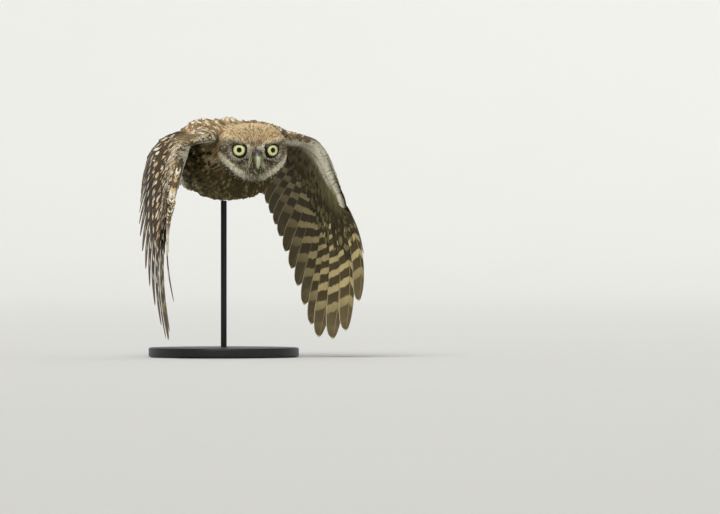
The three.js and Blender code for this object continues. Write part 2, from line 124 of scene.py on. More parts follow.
# The left leg and its toes: points of the middle line and radii there
LEG = [(12, 68, -24), (12, 90, -25.5), (9.5, 113, -21.5), (9, 125, -20.8)]
LEG_RADII = (5.4, 6, 3.4, 2.6)
TOES = [
    [(8, 123.6, -21), (4.5, 131, -22.3), (4, 136, -25.3)],
    [(9, 124.3, -20.6), (9, 133, -22.3), (9, 139, -25.8)],
    [(10.2, 123.8, -21.2), (13, 131, -22.3), (14, 136, -25.3)],
    [(9.4, 123.2, -20.2), (9.5, 124, -24.3), (9.5, 128, -27.3)],
]
TOE_RADII = (2.2, 1.9, 1.5)


# Curves and surfaces


def unit(v):
    return v / np.maximum(np.linalg.norm(v, axis=-1, keepdims=True), 1e-9)


def along(rows, t):
    """Catmull-Rom curve through rows of numbers, one row for each whole step of t."""
    rows = np.asarray(rows, float)
    t = np.asarray(t, float)
    i = np.clip(np.floor(t).astype(int), 0, len(rows) - 2)
    f = (t - i)[..., None]
    a, b, c, d = (rows[np.clip(i + k, 0, len(rows) - 1)] for k in (-1, 0, 1, 2))
    return b + 0.5 * f * (c - a + f * (2 * a - 5 * b + 4 * c - d + f * (3 * (b - c) + d - a)))


def smooth(low, high, x):
    """0 at low and beyond it, 1 at high and beyond it, and a soft step between them."""
    t = np.clip((x - low) / (high - low), 0, 1)
    return t * t * (3 - 2 * t)


def run_along(line):
    """How far each point of a line is from its start, measured along it."""
    steps = np.linalg.norm(np.diff(line, axis=-2), axis=-1)
    start = np.zeros(steps.shape[:-1] + (1,))
    return np.concatenate([start, np.cumsum(steps, -1)], -1)


def shaft_frame(q):
    """Root, tip, upper side and leading side of the wing's quills at places q along the wing."""
    near = 0.05
    base, tip = along(WING_BASE, q), along(WING_TIP, q)
    before = np.maximum(0, q - near)
    after = np.minimum(LAST_QUILL, np.maximum(q, 0) + near)
    across = along(WING_BASE, after) + along(WING_TIP, after)
    across = across - along(WING_BASE, before) - along(WING_TIP, before)
    ahead = unit(tip - base)
    out = unit(np.cross(across, ahead))
    return base, tip, out, np.cross(ahead, out)


def wing_point(q, r):
    """A point of the sheet of quills: q counts along the wing, r runs from root to tip."""
    base, tip, out, lead = shaft_frame(q)
    bow = along(WING_BOW, q)
    arch = (4 * r * (1 - r))[..., None]
    r = r[..., None]
    return base + (tip - base) * r + arch * (out * bow[..., :1] + lead * bow[..., 1:])


def wing_surface(q, s):
    """Middle sheet of the wing, s millimetres behind its leading edge, its upper side's way out
    and half its thickness."""
    base, tip, out, _ = shaft_frame(q)
    lead = along(WING_LEAD, q)
    chord = np.linalg.norm(base - lead, axis=-1)
    reach = np.linalg.norm(tip - base, axis=-1)
    share = s / chord
    arm = lead + (base - lead) * np.clip(share, 0, 1)[..., None]
    r = np.clip((s - chord) / reach, 0, PAST_TIP)
    point = np.where((share < 1)[..., None], arm, wing_point(q, r))
    over_arm = np.interp(share, ARM_CHORD, ARM_FULLNESS)
    fullness = np.where(share < 1, over_arm, np.interp(r, QUILL_REACH, QUILL_FULLNESS))
    return point, out, along(WING_THICK, q)[..., 0] / 2 * fullness


def wing_side(q, s, face):
    """The arm's upper (face 1) or lower (-1) side and the way out of it, s millimetres behind
    the leading edge. Negative s goes round the edge to the other side."""
    middle, out, half = wing_surface(q, np.abs(s))
    arm = along(WING_LEAD, q) - along(WING_BASE, q)
    chord = np.linalg.norm(arm, axis=-1)
    rise = np.arccos(1 - np.clip(np.abs(s) / (NOSE * chord), 0, 1)) * np.sign(s)
    sine, cosine = np.sin(rise)[..., None], np.cos(rise)[..., None]
    point = middle + face * out * half[..., None] * sine
    return point, unit(face * out * sine + arm / chord[..., None] * cosine)


def wander(p, size, seed, waves=6):
    """Slow random variation from place to place, about -1 to 1, in waves of the given size."""
    rng = np.random.default_rng(seed)
    total = 0
    for _ in range(waves):
        way = unit(rng.normal(size=3)) * 2 * math.pi / size * rng.uniform(0.7, 1.5)
        total = total + np.sin(p @ way + rng.uniform(0, 2 * math.pi))
    return total / (waves / 2)


def spun(v, angle):
    """Points or directions turned round the upright axis."""
    x, y, z = np.moveaxis(np.asarray(v, float), -1, 0)
    c, s = math.cos(angle), math.sin(angle)
    return np.stack([x * c - y * s, x * s + y * c, z], -1)


def head_to_bird(p):
    return spun(p, HEAD_YAW) + (HEAD_SHIFT, 0, 0)


def bird_to_head(p):
    return spun(np.asarray(p, float) - (HEAD_SHIFT, 0, 0), -HEAD_YAW)


# Meshes


def linear(srgb):
    """Linear colour from the 0 to 255 values of a colour picker."""
    c = np.asarray(srgb, float) / 255
    return np.where(c <= 0.04045, c / 12.92, ((c + 0.055) / 1.055) ** 2.4)


def pick(*objects):
    """Selects just these objects and makes the first one active."""
    bpy.ops.object.select_all(action="DESELECT")
    for obj in objects:
        obj.select_set(True)
    bpy.context.view_layer.objects.active = objects[0]


def mesh_object(name, points, polygons, mirrored=False):
    """An object from points in the bird's frame and arrays of polygons, each array of one size."""
    points = np.asarray(points, float)
    if mirrored:
        points = points * (-1, 1, 1)
        polygons = [p[:, ::-1] for p in polygons]
    mesh = bpy.data.meshes.new(name)
    mesh.vertices.add(len(points))
    mesh.vertices.foreach_set("co", ((points + HEAD_AT) * MM).astype(np.float32).ravel())
    loops = np.concatenate([p.ravel() for p in polygons])
    sizes = np.concatenate([np.full(len(p), p.shape[1]) for p in polygons])
    mesh.loops.add(len(loops))
    mesh.loops.foreach_set("vertex_index", loops.astype(np.int32))
    mesh.polygons.add(len(sizes))
    mesh.polygons.foreach_set("loop_start", (np.cumsum(sizes) - sizes).astype(np.int32))
    mesh.update(calc_edges=True)
    obj = bpy.data.objects.new(name, mesh)
    bpy.context.scene.collection.objects.link(obj)
    return obj


def mesh_points(mesh):
    """A mesh's points in the bird's frame."""
    co = np.empty(len(mesh.vertices) * 3)
    mesh.vertices.foreach_get("co", co)
    return co.reshape(-1, 3) / MM - HEAD_AT


ATTRIBUTE_KEYS = {"FLOAT_COLOR": "color", "FLOAT_VECTOR": "vector"}


def put_attribute(mesh, name, kind, values):
    layer = mesh.attributes.new(name, kind, "POINT")
    layer.data.foreach_set(ATTRIBUTE_KEYS[kind], np.asarray(values, np.float32).ravel())


def put_uv(mesh, name, values):
    index = np.empty(len(mesh.loops), np.int32)
    mesh.loops.foreach_get("vertex_index", index)
    layer = mesh.uv_layers.new(name=name)
    layer.uv.foreach_set("vector", np.asarray(values, np.float32)[index].ravel())


def loft(rings):
    """Points and polygons of a closed body through rings of equal count."""
    rings = np.asarray(rings, float)
    rows, n = rings.shape[:2]
    i, j = np.meshgrid(np.arange(rows - 1), np.arange(n), indexing="ij")
    k = (j + 1) % n
    sides = np.stack([i * n + j, i * n + k, (i + 1) * n + k, (i + 1) * n + j], -1).reshape(-1, 4)
    caps = np.stack([np.arange(n)[::-1], (rows - 1) * n + np.arange(n)])
    return rings.reshape(-1, 3), [sides, caps]


# Sections of body and head: how square they are, where 2 is an ellipse, their least radius, how close
# to the ends their inset is taken up, and the rings along and points round each
SQUARENESS = 2.3
LEAST_RADIUS = 2
END_SHARPNESS = 6
STATION_ROWS, STATION_SIDES = 40, 48


def swollen(v):
    return np.sign(v) * np.abs(v) ** (2 / SQUARENESS)


def station_rings(stations, inset, end_inset):
    """Rings through a body's stations, drawn in by the coat's depth all round and at both ends."""
    rows, count = STATION_ROWS, STATION_SIDES
    t = np.linspace(0, len(stations) - 1, rows)
    y, w, up, down, z = np.moveaxis(along(stations, t), -1, 0)
    heading = np.sign(y[-1] - y[0])
    first = np.linspace(1, 0, rows) ** END_SHARPNESS
    last = np.linspace(0, 1, rows) ** END_SHARPNESS
    y = y + heading * end_inset * (first - last)
    a = (np.arange(count) + 0.5) / count * 2 * math.pi
    w, up, down = (np.maximum(v - inset, LEAST_RADIUS)[:, None] for v in (w, up, down))
    x = -w * swollen(np.cos(a)) * np.ones((rows, 1))
    rise = swollen(np.sin(a)) * np.where(np.sin(a) > 0, up, down)
    return np.stack([x, y[:, None] + 0 * a, z[:, None] + rise], -1)


def tube_rings(points, radii, rows, count):
    """Rings of a tube along a curve through points, with a radius at each."""
    points = np.asarray(points, float)
    t = np.linspace(0, len(points) - 1, rows)
    middle = along(points, t)
    ahead = unit(np.gradient(middle, axis=0))
    side = unit(np.array([1.0, 0, 0]) - ahead * ahead[:, :1])
    up = np.cross(ahead, side)
    r = along(np.asarray(radii, float)[:, None], t)[:, :, None]
    a = np.arange(count) / count * 2 * math.pi
    return middle[:, None] + r * (np.cos(a)[:, None] * side[:, None] + np.sin(a)[:, None] * up[:, None])


BALL_ROWS, BALL_SIDES, BALL_POLE = 13, 24, 0.06


def ball(centre, radii, roll=0.0, yaw=0.0):
    """An ellipsoid as rings, turned round the upright axis and then rolled."""
    lat = np.linspace(BALL_POLE, math.pi - BALL_POLE, BALL_ROWS)[:, None]
    lon = np.arange(BALL_SIDES) / BALL_SIDES * 2 * math.pi
    p = np.stack([np.sin(lat) * np.cos(lon), np.sin(lat) * np.sin(lon), np.cos(lat) + 0 * lon], -1)
    rotation = Matrix.Rotation(roll, 3, "Y") @ Matrix.Rotation(yaw, 3, "Z")
    return (p * radii) @ np.array(rotation).T + centre


# Flesh of the wing: rings along it, where they run over the chord, and how thick next to the arm
ARM_ROWS = 40
ARM_END = LAST_QUILL - 0.15
ARM_RING = (0.12, 0.3, 0.55, 0.8, 1.0)
ARM_FLESH, ARM_LEAST = 0.5, 0.25


def arm_rings():
    """Rings round the flesh of the wing, thinner than the feathered arm."""
    q = np.linspace(0, ARM_END, ARM_ROWS)
    chord = np.linalg.norm(along(WING_BASE, q) - along(WING_LEAD, q), axis=-1)
    upper, lower = [], []
    for share in ARM_RING:
        point, out, half = wing_surface(q, chord * share)
        rise = out * (half * ARM_FLESH + ARM_LEAST)[:, None]
        upper.append(point + rise)
        lower.append(point - rise)
    return np.stack(upper + lower[::-1], 1)


VOXEL = 1.1


def merged(name, parts):
    """One closed body from overlapping closed bodies."""
    made = []
    for points, polygons in parts:
        obj = mesh_object(name, points, polygons)
        pick(obj)
        bpy.ops.object.mode_set(mode="EDIT")
        bpy.ops.mesh.select_all(action="SELECT")
        bpy.ops.mesh.normals_make_consistent(inside=False)
        bpy.ops.object.mode_set(mode="OBJECT")
        made.append(obj)
    body = joined(name, made)
    remesh = body.modifiers.new("Remesh", "REMESH")
    remesh.mode = "VOXEL"
    remesh.voxel_size = VOXEL * MM
    relax = body.modifiers.new("Relax", "SMOOTH")
    relax.factor = 0.6
    relax.iterations = 4
    for modifier in ("Remesh", "Relax"):
        bpy.ops.object.modifier_apply(modifier=modifier)
    bpy.ops.object.shade_smooth()
    return body


def joined(name, objects):
    """One object from several."""
    pick(*objects)
    if len(objects) > 1:
        bpy.ops.object.join()
    body = bpy.context.view_layer.objects.active
    body.name = name
    body.data.name = name
    return body


# Feathers


def grid_quads(grid):
    """Quads between the points of each feather's grid of point numbers."""
    corners = [grid[:, :-1, :-1], grid[:, :-1, 1:], grid[:, 1:, 1:], grid[:, 1:, :-1]]
    return np.stack(corners, -1).reshape(-1, 4)


def vane_polygons(count, rows, columns):
    """Upper side, lower side and ends of feathers that are closed bodies of rows and columns."""
    inner = columns - 2
    first = np.arange(count)[:, None, None] * rows * (columns + inner)
    i, j = np.meshgrid(np.arange(rows), np.arange(columns), indexing="ij")
    upper = first + i * columns + j
    lower = upper.copy()
    lower[:, :, 1:-1] = first + rows * columns + i[:, :inner] * inner + j[:, :inner]
    root = np.concatenate([upper[:, 0], lower[:, 0, -2:0:-1]], -1)[:, ::-1]
    tip = np.concatenate([upper[:, -1], lower[:, -1, -2:0:-1]], -1)
    return [grid_quads(upper), grid_quads(lower)[:, ::-1], np.concatenate([root, tip])]


def for_points(values, columns):
    """Values of each feather's rows, handed on to all points of those rows."""
    count, _, size = values.shape
    sides = [np.repeat(values, c, 1).reshape(count, -1, size) for c in (columns, columns - 2)]
    return np.concatenate(sides, 1).reshape(-1, size)


# The bake's unwrap of the body: height of its axis, where it starts and how long it is along Y
UNWRAP_AXIS, UNWRAP_START, UNWRAP_LENGTH = -8, -40, 240
# Share of the bake's square that is used, and the size of a small feather's patch on it
BAKE_FILL = 0.99
SMALL_PATCH = 0.003


def bake_corners(root):
    """Each root's place on an unwrap of the body round its long axis."""
    x, y, z = np.moveaxis(root, -1, 0)
    turn = (np.arctan2(x, UNWRAP_AXIS - z) / (2 * math.pi) + 0.5) % 1
    back = np.clip((y - UNWRAP_START) / UNWRAP_LENGTH, 0, 1)
    return np.stack([turn * BAKE_FILL, back * BAKE_FILL], -1)


class Vanes:
    """A batch of feathers: lines of middles with their upper sides, widths and colours. Share is
    the part of the width on the leading side, sag how far the edges hang, and thick, lean, tint,
    mark and pattern are given for all, for each feather or for each row of each."""

    def __init__(self, middle, up, wide, thick, tint, pattern, mark=(1, 1, 1, 0), **more):
        ahead = unit(np.gradient(middle, axis=1))
        self.middle = middle
        self.side = unit(np.cross(ahead, up))
        self.up = np.cross(self.side, ahead)
        self.wide = self.for_rows(wide)
        self.thick = self.for_rows(thick)
        self.share = self.for_rows(more.get("share", 0.5))
        self.sag = self.for_rows(more.get("sag", 0.0))
        self.lean = more.get("lean", 0.0)
        self.tint = self.spread(tint)
        self.mark = self.spread(mark)
        self.pattern = self.spread(pattern)
        self.strength = self.spread(more.get("strength", (1.0,)))

    def for_rows(self, values):
        return np.broadcast_to(values, self.middle.shape[:2])

    def spread(self, values):
        """Values given for all, for each feather or for each row of each, as one array."""
        values = np.asarray(values, float)
        while values.ndim < 3:
            values = values[None] if values.ndim < 2 else values[:, None]
        return np.broadcast_to(values, self.middle.shape[:2] + values.shape[-1:])

    def points(self, u):
        """Points of the upper sides, then those of the lower sides between their edges."""
        count = len(self.middle)
        c, s = math.cos(self.lean), math.sin(self.lean)
        side = (self.side * c + self.up * s)[:, :, None]
        up = (self.up * c - self.side * s)[:, :, None]
        reach = np.where(u < 0, u * (1 - self.share[..., None]), u * self.share[..., None])
        flat = self.middle[:, :, None] + (self.wide[..., None] * reach)[..., None] * side
        bulge = self.thick[..., None] / 2 * (1 - u * u)
        drop = self.sag[..., None] * u * u
        top = flat + (bulge - drop)[..., None] * up
        low = (flat + (-bulge - drop)[..., None] * up)[:, :, 1:-1]
        both = np.concatenate([top.reshape(count, -1, 3), low.reshape(count, -1, 3)], 1)
        return both.reshape(-1, 3)

    def mesh(self, name, columns=3, mirrored=False, corners=None, patch=SMALL_PATCH):
        """The feathers as one object. Corners and patch place each on the bake's square."""
        count, rows = self.middle.shape[:2]
        u, t = np.linspace(-1, 1, columns), np.linspace(0, 1, rows)
        obj = mesh_object(name, self.points(u), vane_polygons(count, rows, columns), mirrored)
        tint = np.concatenate([self.tint, self.strength], -1)
        put_attribute(obj.data, "tint", "FLOAT_COLOR", for_points(tint, columns))
        put_attribute(obj.data, "mark", "FLOAT_COLOR", for_points(self.mark, columns))
        put_attribute(obj.data, "pattern", "FLOAT_VECTOR", for_points(self.pattern, columns))
        sides = [np.stack(np.meshgrid(across, t), -1).reshape(-1, 2) for across in (u, u[1:-1])]
        flat = np.concatenate(sides)
        put_uv(obj.data, "Vane", np.tile(flat, (count, 1)))
        if corners is None:
            corners = bake_corners(self.middle[:, 0])
        bake = corners[:, None] + (flat * (0.5, 1) + (0.5, 0)) * patch
        put_uv(obj.data, "OFBake", bake.reshape(-1, 2))
        pick(obj)
        bpy.ops.object.shade_smooth_by_angle(angle=VANE_CREASE)
        return obj


VANE_CREASE = math.radians(75)


def rounded(t, start=0.35, root=0.45, end=0.12, round_from=0.6, power=2.0):
    """Width of a feather along its length: narrow root, full middle, rounded tip."""
    tip = np.clip((t - round_from) / (1 - round_from), 0, 1)
    body = root + (1 - root) * smooth(0, start, t)
    return np.maximum(body * np.sqrt(np.maximum(1 - tip**power, 0)), end)


# Materials


class Nodes:
    """Short names for the nodes of one material."""

    def __init__(self, name):
        self.material = bpy.data.materials.new(name)
        self.material.use_nodes = True
        self.tree = self.material.node_tree
        self.shader = self.tree.nodes["Principled BSDF"]

    def add(self, kind, **settings):
        node = self.tree.nodes.new(kind)
        for key, value in settings.items():
            setattr(node, key, value)
        return node

    def link(self, source, target):
        """Joins two sockets, or sets the target to a plain value."""
        if hasattr(source, "node"):
            self.tree.links.new(source, target)
        else:
            target.default_value = source

    def math(self, operation, *values):
        node = self.add("ShaderNodeMath", operation=operation)
        for socket, value in zip(node.inputs, values):
            self.link(value, socket)
        return node.outputs[0]

    def plus(self, a, b):
        return self.math("ADD", a, b)

    def minus(self, a, b):
        return self.math("SUBTRACT", a, b)

    def over(self, a, b):
        return self.math("DIVIDE", a, b)

    def times(self, first, *rest):
        for value in rest:
            first = self.math("MULTIPLY", first, value)
        return first

    def scaled(self, value, gain, shift):
        """The value times gain, plus shift."""
        return self.math("MULTIPLY_ADD", value, gain, shift)

    def absolute(self, value):
        return self.math("ABSOLUTE", value)

    def square(self, value):
        return self.math("POWER", value, 2.0)

    def length(self, square_a, square_b):
        return self.math("SQRT", self.plus(square_a, square_b))

    def ramp(self, value, low, high):
        """0 at low, 1 at high, and a soft step between them."""
        node = self.add("ShaderNodeMapRange", interpolation_type="SMOOTHSTEP")
        for socket, given in zip(node.inputs, (value, low, high, 0.0, 1.0)):
            self.link(given, socket)
        return node.outputs[0]

    def fade(self, value, low, high, end, start=1.0):
        """A factor that passes from start to end as the value passes from low to high."""
        return self.scaled(self.ramp(value, low, high), end - start, start)

    def mix(self, share, a, b, blend="MIX"):
        node = self.add("ShaderNodeMix", data_type="RGBA", blend_type=blend)
        first, second = (s for s in node.inputs if s.type == "RGBA")
        self.link(share, node.inputs["Factor"])
        for colour, socket in ((a, first), (b, second)):
            self.link(colour if hasattr(colour, "node") else (*colour, 1.0), socket)
        return next(s for s in node.outputs if s.type == "RGBA")

    def shaded(self, colour, value):
        """A colour times a plain value."""
        tone = self.add("ShaderNodeCombineXYZ")
        for socket in tone.inputs:
            self.link(value, socket)
        return self.mix(1.0, colour, tone.outputs[0], "MULTIPLY")

    def attribute(self, name):
        return self.add("ShaderNodeAttribute", attribute_name=name)

    def split(self, vector):
        """The three parts of a vector."""
        parts = self.add("ShaderNodeSeparateXYZ")
        self.link(vector, parts.inputs[0])
        return parts.outputs

    def uv(self, name="Vane"):
        node = self.add("ShaderNodeUVMap", uv_map=name)
        return self.split(node.outputs[0])[:2]

    def noise(self, scale, detail=3.0, roughness=0.55):
        where = self.add("ShaderNodeTexCoord")
        node = self.add("ShaderNodeTexNoise")
        self.link(where.outputs["Object"], node.inputs["Vector"])
        node.inputs["Scale"].default_value = scale
        node.inputs["Detail"].default_value = detail
        node.inputs["Roughness"].default_value = roughness
        return node.outputs["Fac"]

    def bump(self, height, distance, strength):
        node = self.add("ShaderNodeBump")
        node.inputs["Strength"].default_value = strength
        node.inputs["Distance"].default_value = distance
        self.link(height, node.inputs["Height"])
        self.link(node.outputs[0], self.shader.inputs["Normal"])

    def finish(self, colour, roughness, **sockets):
        self.link(colour, self.shader.inputs["Base Color"])
        self.link(roughness, self.shader.inputs["Roughness"])
        for key, value in sockets.items():
            self.shader.inputs[key.replace("_", " ")].default_value = value
        return self.material


# Barbs: lines along a feather and how far they slant from the shaft to its edge
SMALL_BARBS = (26.0, 5.0)
QUILL_BARBS = (130.0, 9.0)
# Scales of the noise on feathers, in waves a metre
FINE_GRAIN, PATCHES, QUILL_GRAIN, QUILL_RAGS, QUILL_CLOUDS = 700.0, 420.0, 330.0, 190.0, 120.0
# Where a small feather's or a quill's shaft fades into the vane, as shares of half its width
SMALL_SHAFT, QUILL_SHAFT = (0.09, 0.03), (0.055, 0.025)
# How far from its middle a mark starts to fade and where it ends, as shares of its own size
SMALL_MARK, BAR_MARK = (0.75, 1.15), (0.75, 1.2)


def barbs(n, u, t, count, slope):
    """Fine slanting lines of a feather's barbs, from 0 to 1."""
    phase = n.minus(n.times(t, count), n.times(n.absolute(u), slope))
    return n.scaled(n.math("SINE", n.times(phase, 2 * math.pi)), 0.5, 0.5)


def plumage_material(name):
    """Small feathers: a ground colour, one mark on each, darker edges and shaft, barbs, and painted
    shade towards the root.
    """
    n = Nodes(name)
    u, t = n.uv()
    tint, mark = n.attribute("tint"), n.attribute("mark")
    middle, half_length, half_width = n.split(n.attribute("pattern").outputs["Vector"])
    grain = n.noise(FINE_GRAIN)
    away = n.absolute(u)
    # A negative half width makes a pair of spots, one on each web
    paired = n.times(n.math("LESS_THAN", half_width, 0.0), 0.5)
    off_t = n.over(n.minus(t, middle), half_length)
    off_u = n.over(n.minus(away, paired), half_width)
    far = n.plus(n.length(n.square(off_t), n.square(off_u)), n.scaled(grain, 1.2, -0.6))
    inside = n.minus(1.0, n.ramp(far, *SMALL_MARK))
    share = n.times(inside, mark.outputs["Alpha"])
    colour = n.mix(share, tint.outputs["Color"], mark.outputs["Color"])
    lines = barbs(n, u, t, *SMALL_BARBS)
    barbed = n.minus(1.1, n.times(lines, 0.2))
    patchy = n.scaled(n.noise(PATCHES), 0.6, 0.7)
    edge = n.fade(away, 0.7, 1.0, 0.75)
    shaft = n.fade(away, *SMALL_SHAFT, 0.7)
    # painted shade: each feather darker towards its root, which lies under the feathers before it
    root = n.fade(t, 0.0, 0.6, 1.0, 0.5)
    colour = n.shaded(colour, n.times(barbed, n.times(patchy, n.times(edge, shaft)), root))
    n.bump(n.plus(lines, grain), 0.0002, 0.5)
    return n.finish(colour, 0.8, Specular_IOR_Level=0.25)


# Pale bars of a quill: how they bow back towards the edges in millimetres, where each web's bar has
# its middle, how square its ends are, and the place along the quill where the bars gain full strength
BAR_BOW, BAR_MIDDLE, BAR_SQUARENESS = 5.0, 0.52, 6.0
BAR_STRENGTH = (2.0, 46.0)
# Millimetres from the tip over which the ground turns from the colour of the end to its own
END_FADE = (14.0, 42.0)
# Pale fringe: millimetres from the tip and shares of half the width where it fades
TIP_FRINGE, EDGE_FRINGE, FRINGE_END, EDGE_STRENGTH = (2.6, 1.2), (0.88, 0.98), 4.0, 0.75


def quill_material(name, look):
    """Flight and tail feathers: pale bars set by the distance from the tip, and a pale fringe."""
    n = Nodes(name)
    u, t = n.uv()
    tint = n.attribute("tint")
    from_tip, _, own = n.split(n.attribute("pattern").outputs["Vector"])
    grain = n.noise(QUILL_GRAIN)
    away = n.absolute(u)
    ragged = n.scaled(n.noise(QUILL_RAGS, 2.0), 4.0, -2.0)
    spot = n.plus(n.plus(from_tip, n.times(away, BAR_BOW)), n.scaled(grain, 2.0, ragged))
    curve = n.scaled(spot, BAR_RISE[2], BAR_RISE[1])
    cycle = n.plus(n.scaled(curve, spot, BAR_RISE[0]), own)
    beat = n.minus(n.math("FRACT", n.plus(cycle, 0.5)), 0.5)
    off_bar = n.over(beat, look["half_bar"])
    off_web = n.over(n.minus(away, BAR_MIDDLE), look["half_web"])
    ends = n.math("POWER", n.absolute(off_web), BAR_SQUARENESS)
    inside = n.minus(1.0, n.ramp(n.length(n.square(off_bar), ends), *BAR_MARK))
    share = n.times(inside, n.ramp(from_tip, *BAR_STRENGTH), tint.outputs["Alpha"])
    ground = n.mix(n.ramp(from_tip, *END_FADE), look["end"], look["ground"])
    colour = n.mix(share, ground, look["bar"])
    tip = n.ramp(n.scaled(grain, 1.2, from_tip), *TIP_FRINGE)
    hem = n.times(n.ramp(away, *EDGE_FRINGE), n.ramp(from_tip, look["hem"], FRINGE_END))
    fringe = n.math("MAXIMUM", tip, n.times(hem, EDGE_STRENGTH))
    colour = n.mix(fringe, colour, look["fringe"])
    colour = n.mix(n.ramp(away, *QUILL_SHAFT), colour, look["shaft"])
    colour = n.mix(1.0, colour, tint.outputs["Color"], "MULTIPLY")
    lines = barbs(n, u, t, *QUILL_BARBS)
    barbed = n.scaled(lines, -0.14, 1.07)
    colour = n.shaded(colour, n.times(barbed, n.scaled(n.noise(QUILL_CLOUDS), 0.5, 0.75)))
    n.bump(lines, 0.0001, 0.4)
    return n.finish(colour, 0.6, Specular_IOR_Level=0.35)


# Plumage: colours by place, alike for skin and feathers

# The crown's own tan, made paler by painted light from above
CROWN = linear((204, 177, 132))
CROWN_MARK = linear((246, 230, 200))
CROWN_DARK = linear((118, 88, 54))
MANTLE = linear((136, 113, 78))
WHITE_SPOT = linear((240, 231, 208))
BUFF_SPOT = linear((220, 194, 150))
WING_BROWN = linear((78, 61, 40))
WING_TAN = linear((168, 146, 108))
# The breast's own olive buff, darkened by painted shade of the underside
BREAST = linear((122, 110, 64))
BREAST_STREAK = linear((54, 42, 19))
BREAST_PALE = linear((196, 188, 146))
FACE_GREY = linear((136, 121, 96))
FACE_DARK = linear((60, 48, 34))
FACE_WHITE = linear((224, 218, 192))
FACE_PALE = linear((194, 184, 152))
BIB = linear((108, 104, 74))
UNDERWING = linear((226, 220, 196))
UNDERWING_MARK = linear((58, 50, 32))
UNDERWING_OLIVE = linear((118, 111, 74))
UNDERWING_DARK = linear((70, 62, 38))
UNDERWING_SPOT = linear((136, 127, 86))
PALE_LEG = linear((214, 204, 176))

# Lines on the face, alike on both sides: place across and height, in the head's frame
BROW_LINE = [(1.5, 1.0), (6.2, 2.8), (10.7, 4.5), (15.0, 6.3), (19.0, 7.9), (23.5, 8.9)]
GAPE_LINE = [(4.0, -5.5), (7.0, -8.0), (11.0, -9.6), (15.0, -10.8)]
JOWL_LINE = [(14, -11), (24, -8)]
CHEEK_LINE = [(31.0, -4.5), (24.5, -11.5), (17.5, -17.5), (9.0, -22.5), (0.0, -24.5)]
# Upper edge of the facial disc, and how far back the disc reaches by height
DISC_ACROSS, DISC_TOP = (0, 6, 15, 24, 32), (1.8, 4.1, 7.5, 9.6, 6)
DISC_HEIGHT, DISC_REAR = (-4, 4), (1.5, -3)
# Across the neck: the way from head to body, and how far along it one passes into the other
NECK_WAY, NECK_BLEND = (0, 0.86, -0.51), (7, 12)
# The brown of the crown runs on over the neck, further along the back than below
NECK_REACH, NECK_LONGER = 26, 26

# Patches of colour, painted one over the other: colour, strength, and for each measure of place the
# value where the patch is gone and the value where it is full
BODY_PATCHES = [
    (BREAST_STREAK, 0.45, ("height", -14, 2)),
    (MANTLE, 1.0, ("back line", -4, 8)),
    (PALE_LEG, 1.0, ("behind", 84, 100), ("height", -12, -20)),
]
CROWN_PATCHES = [
    (CROWN_DARK, 0.75, ("across", 10, 3), ("height", 11, 4), ("behind", -8, -14)),
    (MANTLE, 0.6, ("behind", 4, 22)),
]
FACE_PATCHES = [
    (FACE_WHITE, 0.55, ("from eye", 10.5, 8.0), ("height", 5, -2)),
    (FACE_PALE, 0.9, ("across", 10, 7), ("height", 3.5, 0.5), ("height", -9, -5)),
    (FACE_DARK, 0.6, ("temple", 20, 24), ("height", -7, -2), ("height", 6, 1)),
    (FACE_DARK, 0.45, ("from jowl", 3.6, 1.5)),
    (BIB, 0.9, ("height", -9, -14), ("across", 17, 12)),
]
PATCHES_OVER_CHEEK = [
    (FACE_DARK, 0.55, ("from chin", 10, 3)),
    # partly the ruff's own dark band, partly painted shadow under the facial disc
    (BREAST_STREAK, 0.85, ("below cheek", 2.2, 3.6)),
    (FACE_DARK, 0.95, ("from gape", 2.0, 0.9)),
    (FACE_WHITE, 0.9, ("from brow", 2.0, 0.9)),
    (FACE_DARK, 0.8, ("across", 2.0, 0.5), ("height", -1, 4)),
]
# Under the facial disc: partly the ruff's own dark band, partly painted shadow under it
RUFF_AND_SHADOW_PATCHES = [(BREAST_STREAK, 0.8, ("height", -20, -25), ("behind", -14, -4))]


def mixed(a, b, share):
    share = np.asarray(share, float)[..., None]
    return np.asarray(a) * (1 - share) + np.asarray(b) * share


def painted(colour, patches, place):
    """A colour under patches, by a dict of measures of place."""
    for patch, strength, *edges in patches:
        share = strength
        for measure, gone, full in edges:
            share = share * smooth(gone, full, place[measure])
        colour = mixed(colour, patch, share)
    return colour


def segment_distance(x, z, points):
    """Least distance in the plane of the face to a broken line."""
    best = np.full(np.shape(x), np.inf)
    for (ax, az), (bx, bz) in zip(points, points[1:]):
        dx, dz = bx - ax, bz - az
        t = np.clip(((x - ax) * dx + (z - az) * dz) / (dx * dx + dz * dz), 0, 1)
        best = np.minimum(best, np.hypot(x - ax - t * dx, z - az - t * dz))
    return best


def head_share(p):
    """1 on the head and 0 on the body."""
    return 1 - smooth(*NECK_BLEND, p @ NECK_WAY)


def face_share(h):
    """1 on the facial disc, in the head's frame."""
    x, y, z = np.abs(h[..., 0]), h[..., 1], h[..., 2]
    top = np.interp(x, DISC_ACROSS, DISC_TOP)
    rear = np.interp(z, DISC_HEIGHT, DISC_REAR)
    return smooth(0, -4, y + 0.12 * x - rear) * smooth(1.6, 0.4, z - top)


